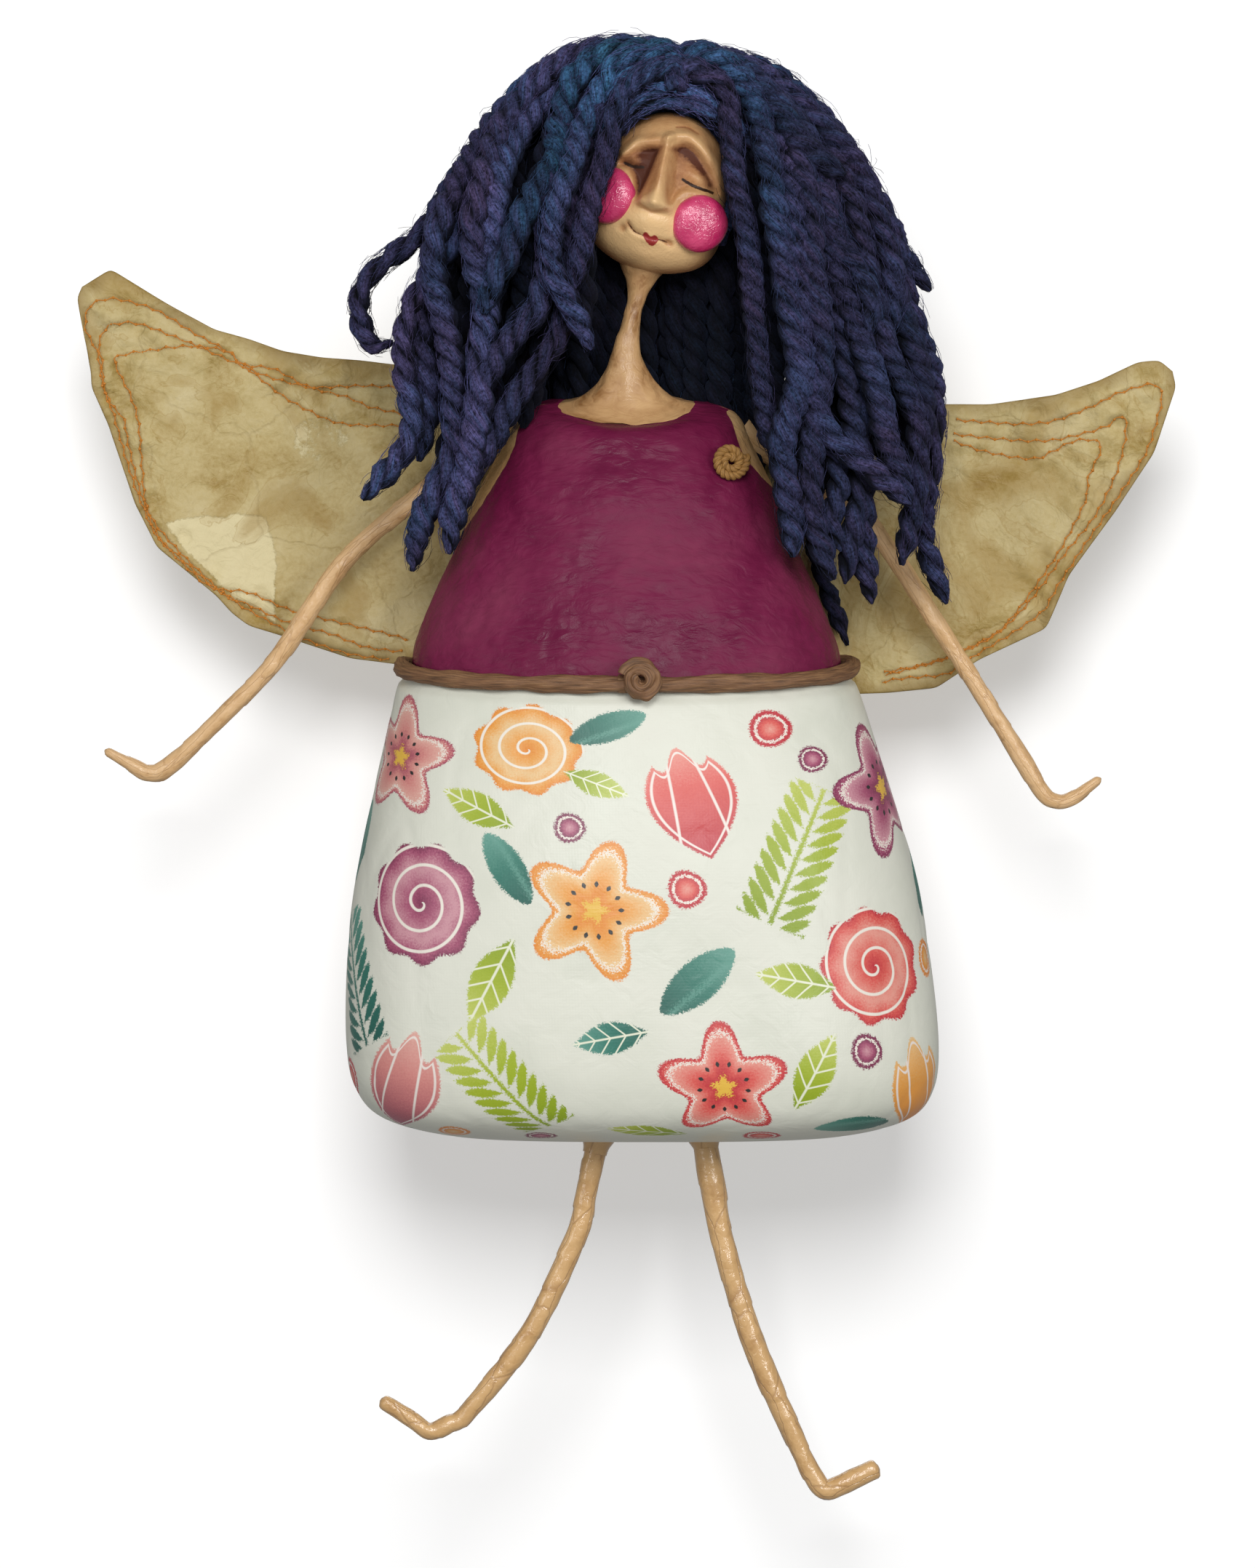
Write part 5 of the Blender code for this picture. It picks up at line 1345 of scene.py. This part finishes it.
limbs = {
    "right_arm": {"depth": 12.0, "radii": (2.9, 2.5, 1.5), "foot": 5.6, "root": 9.5, "route": [
        (-41, -1), (-58.6, -13.4), (-84.3, -35.7), (-104.1, -64.2), (-123.3, -83.9), (-135.5, -95),
        (-140.6, -96.6), (-145, -94.6), (-153.3, -89.9)]},
    "left_arm": {"depth": 12.0, "radii": (2.9, 2.5, 1.5), "foot": 5.6, "root": 9.5, "route": [
        (37.5, -4), (52, -14), (67.4, -25), (89.3, -57.6), (108.7, -88.7), (116.4, -101.4), (120.6, -104.6),
        (125.4, -103.9), (133.9, -98)]},
    "right_leg": {"depth": 0.0, "radii": (3.3, 2.8, 2.1), "foot": 3.4, "root": 6.5, "route": [
        (-12.9, -209.6), (-14.6, -217.5), (-17.3, -229.3), (-30.5, -257), (-48.4, -279.7), (-53.8, -283.2),
        (-59, -285.4), (-64, -282.3), (-73.4, -276.2)]},
    "left_leg": {"depth": 0.0, "radii": (3.6, 3.0, 2.7), "foot": 3.6, "root": 6.5, "route": [
        (20.9, -209.9), (22.3, -218), (25.2, -232.4), (33.2, -259.5), (45.1, -286.8), (50.6, -298.2),
        (54, -302.2), (59.2, -300.3), (69.5, -295.6)]},
}
legCollar = {"top": -200.8, "end": -205.6, "wide": 4.9, "narrow": 3.4}


def makeLimbs():
    for name, limb in limbs.items():
        route = np.array(limb["route"], float)
        run = (route[1] - route[0]) / np.linalg.norm(route[1] - route[0])
        flat = smoothLine(np.vstack([route[0] - run * limb["root"], route]), 0.7)
        line = atDepth(flat, limb["depth"])
        along = lengthAlong(line)
        total = along[-1]
        bend = total - np.linalg.norm(route[-1] - route[-3]) - 4.0
        radii = np.interp(along, [0.0, bend, total], limb["radii"])
        radii = radii + (limb["foot"] - limb["radii"][0]) * (1.0 - smoothStep(along / (limb["root"] + 2.0)))
        tip = np.clip((total - along) / 1.6, 0.0, 1.0)
        radii = radii * np.sqrt(1.0 - (1.0 - tip) ** 2 * 0.96)

        def wrapped(points, angle, run, name=name):
            wrap = run / 17.0 + 0.2 * np.cos(angle + 0.2 * run) + 0.7 * lumps(points, 14.0, 4)
            seam = np.mod(wrap, 1.0) - 0.5
            return 0.3 * lumps(points, 11.0, len(name)) + 0.13 * lumps(points, 3.2, 3) + 0.26 * seam

        mesh = layGrids(name + "_paper", [tubeSheet(line, radii, 26, wrapped)])
        pivot = np.array([route[0][0], limb["depth"], route[0][1]])
        step = np.array([run[0], 0.0, run[1]])
        nodes = [name, name.replace("arm", "shoulder_collar")] if "arm" in name else [name]
        addPiece(mesh, armSkin if "arm" in name else legSkin, nodes, name,
                 (pivot - step * 4.5, pivot + step * 4.5))
        if "leg" in name:
            heights = np.linspace(legCollar["top"], legCollar["end"], 16)
            share = smoothStep((heights - legCollar["end"]) / (legCollar["top"] - legCollar["end"]))
            spread = legCollar["narrow"] + (legCollar["wide"] - legCollar["narrow"]) * share ** 1.6
            x = route[0][0] - run[0] / run[1] * (route[0][1] - heights)
            line = np.stack([x, np.zeros(16), heights], axis=1)
            sheet = tubeSheet(line, spread, 36, lambda points, angle, run: 0.2 * lumps(points, 4.0, 14))
            mesh = layGrids(name + "_collar_paper", [sheet])
            addPiece(mesh, legSkin, [name + "_collar"])


makeLimbs()
print("limbs made")


# Wings: stained paper in pasted layers, machine stitched in rows near the rim

wings = {
    "middleY": 25.3, "half": 0.65, "rim": 0.7, "across": 110, "along": 230, "thread": 0.19, "stitch": 2.4,
    "soften": 10, "wave": 1.3, "waveSize": 46.0, "ripple": 0.4, "rippleSize": 15.0, "pucker": 1.6,
    "puckerSize": 4.5, "puckerReach": 6.0, "groove": 0.35, "grooveWidth": 0.7, "jog": 0.3,
    "freeFrom": 58.0, "freeOver": 30.0, "hinge": (22.0, 30.0, -20.0), "backUv": 400.0, "noPatch": -9.0,
    "right": {
        "top": [(0, 6), (-24.3, 6), (-45, 17), (-69.1, 20.6), (-79.5, 21.9), (-90.5, 22.7), (-101.5, 24.5),
                (-111.3, 28), (-121.1, 30.7), (-134.5, 38), (-150.8, 48), (-159, 42.9)],
        "foot": [(0, -47), (-24.3, -47), (-45, -51), (-51, -60), (-58, -66), (-68.5, -65.4), (-82, -63.7),
                 (-103.4, -56.7), (-111.3, -54.3), (-116.2, -50.6), (-120.5, -45.7), (-137.6, -31.7),
                 (-143.7, -19.5), (-151.7, 3.8), (-156.3, 14.2), (-156.3, 17.8), (-160.5, 39.8),
                 (-159, 42.9)],
        "rows": [
            [(-68.7, 14.2), (-79.3, 14.5), (-87.6, 14.2), (-94.1, 14.3), (-99.9, 17.2), (-104.8, 19.5),
             (-113, 20.7), (-117.1, 24.2), (-127, 29.7), (-137.6, 36.1), (-147.5, 39.1), (-151.2, 39.4),
             (-154.5, 38.7), (-157.3, 36.5), (-158, 30.8), (-154.5, 23.8), (-152.8, 14.8), (-149.5, 4.9),
             (-145.8, -8.2), (-141.3, -20.6), (-137.2, -28.8), (-127, -39.4), (-121.2, -43.5),
             (-111.4, -44.8), (-99, -49.9), (-86.7, -53), (-72.8, -56.3), (-65.4, -58.3)],
            [(-67.4, 6.5), (-76.9, 8.6), (-82.6, 11.1), (-93.3, 13.9), (-104.8, 16.8), (-113.8, 20.5),
             (-124.9, 25.4), (-136.8, 30.2), (-143.4, 32.4), (-148.1, 32.4), (-152, 31.2), (-154.2, 26.2),
             (-153.2, 21.3), (-152.2, 11.5), (-147.1, 4.9), (-145.8, -1.7), (-143, -13.2), (-137.6, -27.9),
             (-131.1, -34.5), (-119.6, -44.4), (-110.5, -48.6), (-99.9, -53.4), (-87.6, -56.7),
             (-77.7, -60.4), (-67, -61.8)],
            [(-67.8, 3.1), (-81, 3.3), (-87.6, 4.5), (-93.3, 7), (-99.9, 10.6), (-105.6, 14.8),
             (-113.8, 21.3), (-117.1, 24.2), (-126.1, 25.8), (-136.8, 25), (-148.5, 23), (-149.1, 19.7),
             (-145, 11.5), (-142.6, 2.4), (-141.7, -9.9), (-140.1, -21.4), (-133.5, -30.4), (-123.7, -40.3),
             (-115.5, -47.2), (-104, -53.8), (-94.9, -58.3), (-82.6, -62.3), (-71.1, -64.1)],
        ],
        "patches": [
            (9.0, [(-138, -23.4), (-126, -22.6), (-116.3, -21), (-113, -22.2), (-107.7, -22.2),
                   (-104.8, -32.9), (-104, -44.4), (-103.6, -55), (-120.4, -43.5), (-130.2, -32.9)]),
            (0.0, [(-97.4, 4.9), (-87.6, 8.2), (-83.4, 0.8), (-87.6, -6.2), (-100.7, -5.8)]),
        ],
    },
    "left": {
        "top": [(0, 4), (24.3, 4), (48, 9), (70, 9.2), (91.8, 9.2), (101.4, 9.2), (120.2, 11.9),
                (132.3, 15.9), (143.7, 21.3), (149.8, 21.8), (153.6, 18.6)],
        "foot": [(0, -47), (24.3, -47), (45, -51), (52, -66), (60, -74), (72, -73.6), (85.9, -72.2),
                 (98.3, -64), (117.4, -55.1), (124.1, -39.6), (137, -21.9), (148.3, -4.8), (154.7, 14.2),
                 (153.6, 18.6)],
        "rows": [
            [(91.7, 4.6), (103.9, 3.8), (112, 3.5), (120.1, 4.6), (131.5, 9), (138, 12.3), (147.7, 14.9),
             (150.5, 12.1), (149.7, 6.6), (145.7, -5.2), (137.2, -18.5), (128.2, -31.5), (120.0, -44.2),
             (116.6, -50.0), (107.9, -56.3), (101.0, -60.4), (94.0, -64.8), (88.4, -68.2), (77.1, -69.3),
             (70.5, -70.4)],
            [(90.9, 0.5), (103.9, -0.7), (112.8, -1.3), (121.7, -0.7), (133.9, 2.6), (138, 5.4), (140, 5),
             (140, -0.7), (137.2, -11.2), (131.5, -22.6), (122.5, -34), (113.6, -46.1), (105.5, -54.7),
             (98.2, -59.5), (85.2, -64.8), (71, -67.7)],
            [(90.9, -1.5), (101.4, -4.7), (113.6, -6.4), (119.3, -4.3), (125, -1.5), (130.7, -1.1),
             (133.1, -3.5), (129.4, -12.1), (128.6, -18.5), (122.5, -30.7), (114.4, -42.9), (107.1, -52.6),
             (102.2, -57.1), (88.4, -63.6), (71.4, -68.5)],
        ],
        "patches": [],
    },
}


def stainedPaper():
    # tea-stained paper pasted in layers: dull buff with ochre clouds, a darker rim,
    # torn paler patches and fine cracks
    material, shader, add = newMaterial("stained_paper", {"IOR": 1.5})
    flat = add("UVMap", "UVMap")
    cloud = add("TexNoise", {"Vector": flat, "Scale": 1.0 / 22.0, "Detail": 6.0, "Distortion": 0.6})
    speck = add("TexNoise", {"Vector": flat, "Scale": 1.0 / 1.6, "Detail": 5.0, "Roughness": 0.7})
    mottled = add("Math", "MULTIPLY_ADD", speck, 0.4, cloud)
    tone = add("ValToRGB", mottled, ramp=[
        (0.48, "#8c7230"), (0.58, "#a68f54"), (0.72, "#b8a570"), (0.95, "#c5b588")])
    patch = add("Attribute", "patch", out="Fac")
    torn = add("Math", "MULTIPLY_ADD", mottled, 6.0, patch)
    pale = add("MapRange", torn, 4.2, 4.8, 0.0, 0.85)
    tone = add("Mix", "RGBA", {0: pale, 6: tone, 7: linear("#d5c89c")})
    tea = add("TexNoise", {"Vector": flat, "Scale": 1.0 / 40.0, "Detail": 5.0, "Distortion": 1.2})
    tide = add("Math", "COMPARE", tea, 0.545, 0.004)
    tide = add("Math", "MULTIPLY", tide, 0.25)
    tea = add("MapRange", tea, 0.53, 0.62, 0.0, 0.5)
    tea = add("Math", "ADD", tea, tide)
    tone = add("Mix", "RGBA", {0: tea, 6: tone, 7: linear("#947324")})
    rim = add("Attribute", "rim", out="Fac")
    soaked = add("Math", "MULTIPLY_ADD", cloud, -14.0, rim)
    edge = add("MapRange", soaked, -3.5, -8.0, 0.0, 0.75)
    tone = add("Mix", "RGBA", {0: edge, 6: tone, 7: linear("#82662c")})
    warped = add("TexNoise", {"Vector": flat, "Scale": 1.0 / 9.0, "Detail": 3.0}, out="Color")
    warped = add("VectorMath", "MULTIPLY_ADD", warped, (9.0, 9.0, 0.0), flat)
    crackle = add("TexVoronoi", "DISTANCE_TO_EDGE", {"Vector": warped, "Scale": 1.0 / 46.0})
    crack = add("MapRange", crackle, 0.012, 0.002, 0.0, 0.16)
    tone = add("Mix", "RGBA", {0: crack, 6: tone, 7: linear("#7d642c")})
    stitchDistance = add("Attribute", "row", out="Fac")
    # darker within about a millimetre of each stitched row
    besideStitching = add("MapRange", stitchDistance, 0.8, 0.2, 0.0, 0.5)
    tone = add("Mix", "RGBA", {0: besideStitching, 6: tone, 7: linear("#7a5f2c")})
    rough = add("MapRange", cloud, 0.3, 0.7, 0.5, 0.72)
    wrinkle = add("TexNoise", {"Vector": flat, "Scale": 1.0 / 6.0, "Detail": 6.0, "Distortion": 1.4})
    height = add("Math", "MULTIPLY_ADD", crack, -0.8, wrinkle)
    height = add("Math", "MULTIPLY_ADD", pale, -0.25, height)
    # crumpled facets, deeper beside the stitching
    facet = add("TexVoronoi", "F1", {"Vector": warped, "Scale": 1.0 / 10.0}, out="Distance")
    deep = add("MapRange", stitchDistance, 16.0, 3.0, 0.25, 1.6)
    facet = add("Math", "MULTIPLY", facet, deep)
    height = add("Math", "ADD", facet, height)
    bump = add("Bump", {"Strength": 0.85, "Distance": 0.9 * mm, "Height": height})
    fillSockets(shader, {"Base Color": tone, "Roughness": rough, "Normal": bump})
    return material


def orangeThread():
    # mercerised cotton thread, orange with a soft gloss
    material, shader, add = newMaterial("orange_cotton_thread", {"IOR": 1.53, "Roughness": 0.6})
    flat = add("UVMap", "UVMap")
    turned = add("Mapping", {"Vector": flat, "Rotation": (0.0, 0.0, 0.6), "Scale": (1.0 / 0.5, 1.0, 1.0)})
    strand = add("TexNoise", {"Vector": turned, "Scale": 1.0 / 0.5, "Detail": 2.0})
    tone = add("ValToRGB", strand, ramp=[(0.3, "#965c10"), (0.6, "#cb7f1e")])
    fillSockets(shader, {"Base Color": tone})
    return material


def cutLine(given, step):
    # a scissor cut through the given points, its corners only a little rounded
    line = evenLine(np.asarray(given, float), step)
    for _ in range(wings["soften"]):
        line[1:-1] = (line[:-2] + 2.0 * line[1:-1] + line[2:]) / 4.0
    return line


def fartherBack(given):
    # places read off the photograph, spread a little because the wings lie behind the doll's middle
    middle = np.array([photo["middleX"], photo["middleZ"]])
    points = np.array(given, float)
    spread = middle + (points - middle) * (1.0 + wings["middleY"] / photo["far"])
    return np.where(np.abs(points[:, :1]) > 30.0, spread, points)


def makeWings():
    paper, thread = stainedPaper(), orangeThread()
    for side in ("right", "left"):
        wing = wings[side]
        stitched = [fartherBack(row) for row in wing["rows"]]
        rows = [smoothLine(row, 2.0) for row in stitched]
        top = cutLine(fartherBack(wing["top"]), 0.5)
        foot = cutLine(fartherBack(wing["foot"]), 0.5)
        edge = evenLine(np.vstack([foot, top[::-1]]), 1.0)
        count = wings["along"] + 1
        topRow = evenLine(top, lengthAlong(top)[-1] / wings["along"])[:count]
        footRow = evenLine(foot, lengthAlong(foot)[-1] / wings["along"])[:count]

        def warp(flat):
            # the sheet's own unevenness, less near the body
            spot = np.pad(flat, ((0, 0), (0, 1)))
            free = smoothStep((np.abs(flat[:, 0]) - wings["freeFrom"]) / wings["freeOver"])
            near = np.min([awayFrom(flat, row)[0] for row in rows], axis=0)
            sink = wings["wave"] * lumps(spot, wings["waveSize"], 21)
            sink = sink + wings["ripple"] * lumps(spot, wings["rippleSize"], 22)
            pucker = wings["pucker"] * lumps(spot, wings["puckerSize"], 23)
            return free * (sink + pucker * np.exp(-((near / wings["puckerReach"]) ** 2))), near

        def place(u, v):
            row = np.rint(v * wings["along"]).astype(int)
            share = np.where(u < 0.5, u, 1.0 - u) * 2.0
            share = 0.5 - 0.5 * np.cos(math.pi * share)
            flat = footRow[row] * (1.0 - share)[:, None] + topRow[row] * share[:, None]
            rim = awayFrom(flat, edge)[0]
            rim[(share < 1e-6) | (share > 1.0 - 1e-6)] = 0.0
            sink, near = warp(flat)
            rounded = np.sqrt(1.0 - (1.0 - np.clip(rim / wings["rim"], 0.0, 1.0)) ** 2)
            thick = wings["half"] * rounded * (row > 0)
            groove = wings["groove"] * np.exp(-((near / wings["grooveWidth"]) ** 2)) * rounded
            y = wings["middleY"] + sink + np.where(u < 0.5, groove - thick, thick - groove)
            patch = np.full(len(u), wings["noPatch"])
            for cover, outline in wing["patches"]:
                patch = np.maximum(patch, np.minimum(insideOf(flat, np.array(outline, float)), cover))
            points = atDepth(flat, y)
            back = np.where(u < 0.5, 0.0, wings["backUv"])[:, None]
            patch = np.where(u < 0.5, patch, wings["noPatch"])
            return points, {"uv": flat + back, "rim": rim, "row": near, "patch": patch}

        out = -1.0 if side == "right" else 1.0
        near, far, z = wings["hinge"]
        hinge = ((out * near, wings["middleY"], z), (out * far, wings["middleY"], z))
        nodes = [side + "_wing"] + (["wing_root"] if side == "right" else [])
        sheet = {"across": 2 * wings["across"], "along": wings["along"], "place": place}
        mesh = layGrids(side + "_wing_paper", [sheet])
        addPiece(mesh, paper, nodes, side + "_wing", hinge)
        sheets = []
        for given in stitched:
            flat = smoothLine(given, 0.2)
            along = lengthAlong(flat)
            sink = warp(flat)[0]
            dip = np.cos(math.pi * along / wings["stitch"]) ** 2
            jog = wings["jog"] * np.cos(math.pi * along / wings["stitch"])
            run = np.gradient(flat, axis=0)
            run = run / np.linalg.norm(run, axis=1)[:, None]
            flat = flat + np.stack([-run[:, 1], run[:, 0]], axis=1) * jog[:, None]
            for face in (-1.0, 1.0):
                lift = wings["half"] - wings["groove"] + 0.6 * wings["thread"] - 0.2 * dip ** 3
                y = wings["middleY"] + sink + face * lift
                line = atDepth(flat, y)
                sheets.append(tubeSheet(line, wings["thread"] * (1.0 + 2.3 * dip ** 6), 5))
        mesh = layGrids(side + "_wing_stitching", sheets)
        addPiece(mesh, thread, (), side + "_wing", hinge)


makeWings()
print("wings made")


# Back card with the hanging loop, and what is hidden inside

card = {"half": 21.0, "front": 26.45, "back": 29.45, "top": -4.0, "foot": -50.0, "corner": 3.0,
        "edge": 0.35}
loop = {"half": 5.0, "top": 9.0, "foot": -13.0, "y": 27.95, "radius": 0.7}


def plainMaterial(name, dark, light, size, rough, metal=0.0):
    material, shader, add = newMaterial(name, {"Roughness": rough, "Metallic": metal, "IOR": 1.5})
    place = add("TexCoord", out="Object")
    cloud = add("TexNoise", {"Vector": place, "Scale": perMetre(size), "Detail": 5.0})
    tone = add("ValToRGB", cloud, ramp=[(0.35, dark), (0.65, light)])
    bump = add("Bump", {"Strength": 0.25, "Distance": 0.3 * mm, "Height": cloud})
    fillSockets(shader, {"Base Color": tone, "Normal": bump})
    return material


def makeCard():
    # grey millboard: dull, with short paper fibres
    board = plainMaterial("grey_millboard", "#8d8676", "#a59e8c", 1.5, 0.85)
    # drawn steel wire: smooth and bright
    steel = plainMaterial("steel_wire", "#8f9194", "#a6a8ab", 2.0, 0.32, 1.0)
    work = bmesh.new()
    bmesh.ops.create_cube(work, size=1.0)
    size = Vector((2 * card["half"], card["back"] - card["front"], card["top"] - card["foot"])) * mm
    bmesh.ops.scale(work, vec=size, verts=work.verts)
    middle = toWorld((0.0, (card["front"] + card["back"]) / 2, (card["top"] + card["foot"]) / 2))
    bmesh.ops.translate(work, vec=middle, verts=work.verts)
    corners = [e for e in work.edges if abs(e.verts[0].co.y - e.verts[1].co.y) > mm]
    bevel = functools.partial(bmesh.ops.bevel, work, offset_type="OFFSET", affect="EDGES", profile=0.5,
                              material=-1, clamp_overlap=True)
    bevel(geom=corners, offset=card["corner"] * mm, segments=6)
    rims = [e for e in work.edges if e.calc_face_angle(0.0) > 1.0]
    bevel(geom=rims, offset=card["edge"] * mm, segments=2)
    mesh = bpy.data.meshes.new("back_card_board")
    work.to_mesh(mesh)
    work.free()
    addPiece(mesh, board, ["back_card"])
    bow = np.linspace(math.pi, 0.0, 40)
    rise = loop["top"] - loop["half"]
    arch = np.stack([loop["half"] * np.cos(bow), rise + loop["half"] * np.sin(bow)], axis=1)
    flat = np.vstack([[(-loop["half"], loop["foot"])], arch, [(loop["half"], loop["foot"])]])
    flat = evenLine(flat, 0.5)
    mesh = layGrids("hanging_loop_wire", [tubeSheet(atDepth(flat, loop["y"]), loop["radius"], 14)])
    addPiece(mesh, steel, ["hanging_loop"])
    # crumpled newspaper: grey with darker print
    news = plainMaterial("crumpled_newsprint", "#8f8d86", "#bdbab0", 3.0, 0.9)
    # bare papier-mache: buff and dull
    mache = plainMaterial("papier_mache", "#a89a7c", "#c4b899", 6.0, 0.85)
    for name, material in [("paper_core", news), ("skirt_shell", mache)] + [
            (name, steel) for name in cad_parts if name.endswith("_wire")]:
        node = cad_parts[name]
        node.data.materials.clear()
        node.data.materials.append(material)


makeCard()
print("card made")


# Stage: a white wall behind, which keeps the soft shadow, and even daylight from the front

lights = {
    "key": {"at": (0.8, -1.3, 0.15), "size": 0.45, "power": 7.2, "lights": "doll"},
    "fill": {"at": (-1.1, -1.2, 0.0), "size": 0.6, "power": 4.0, "lights": "doll"},
    "softbox": {"at": (0.0, -2.45, 0.82), "size": 0.95, "power": 32.0, "lights": "doll"},
    "wallLamp": {"at": (-0.1, -2.45, 0.82), "size": 0.95, "power": 41.0, "lights": "wall"},
    "back": {"at": (0.0, 1.2, 0.6), "size": 0.8, "power": 4.0, "lights": "doll"},
}
wall = {"y": 80.0, "half": 1.6, "glow": 0.3, "ambient": 0.3}


def makeStage():
    for name, lamp in lights.items():
        data = bpy.data.lights.new(name, "AREA")
        data.energy = lamp["power"]
        data.size = lamp["size"]
        made = bpy.data.objects.new(name, data)
        made.location = lamp["at"]
        aim = Vector((0.0, 0.0, -0.1)) - Vector(lamp["at"])
        made.rotation_euler = aim.to_track_quat("-Z", "Y").to_euler()
        bpy.context.scene.collection.objects.link(made)
    world = bpy.data.worlds.new("studio")
    world.use_nodes = True
    add = functools.partial(addNode, world.node_tree)
    sight = add("LightPath").node
    bright = add("MapRange", {"Value": sight.outputs["Is Camera Ray"], 3: wall["ambient"], 4: 1.0})
    fillSockets(world.node_tree.nodes["Background"], {"Color": linear("#ffffff"), "Strength": bright})
    bpy.context.scene.world = world
    mesh = bpy.data.meshes.new("wall")
    y = (wall["y"] - nailPlace[1]) * mm
    half = wall["half"]
    mesh.from_pydata([(-half, y, -half), (half, y, -half), (half, y, half), (-half, y, half)], [],
                     [(0, 1, 2, 3)])
    plane = bpy.data.objects.new("wall", mesh)
    bpy.context.scene.collection.objects.link(plane)
    plane.visible_diffuse = False
    plane.visible_glossy = False
    plane.visible_transmission = False
    plane.visible_shadow = False
    # matt white paint that glows a little, so that it is pure white where no shadow falls,
    # and clear from behind
    material, shader, add = newMaterial("white_wall", {
        "Roughness": 1.0, "Specular IOR Level": 0.0, "Base Color": linear("#fafafa"),
        "Emission Color": linear("#ffffff"), "Emission Strength": wall["glow"]})
    clear = add("BsdfTransparent")
    behind = add("NewGeometry", out="Backfacing")
    both = add("MixShader", behind, shader.outputs["BSDF"], clear)
    fillSockets(material.node_tree.nodes["Material Output"], {"Surface": both})
    mesh.materials.append(material)
    # one lamp alone casts the shadow on the wall, the others light only the doll
    for name, lamp in lights.items():
        lit = bpy.data.collections.new("lit_by_" + name)
        lit.objects.link(plane)
        onWall = "EXCLUDE" if lamp["lights"] == "doll" else "INCLUDE"
        lit.collection_objects[0].light_linking.link_state = onWall
        bpy.data.objects[name].light_linking.receiver_collection = lit


makeStage()
print("stage made")
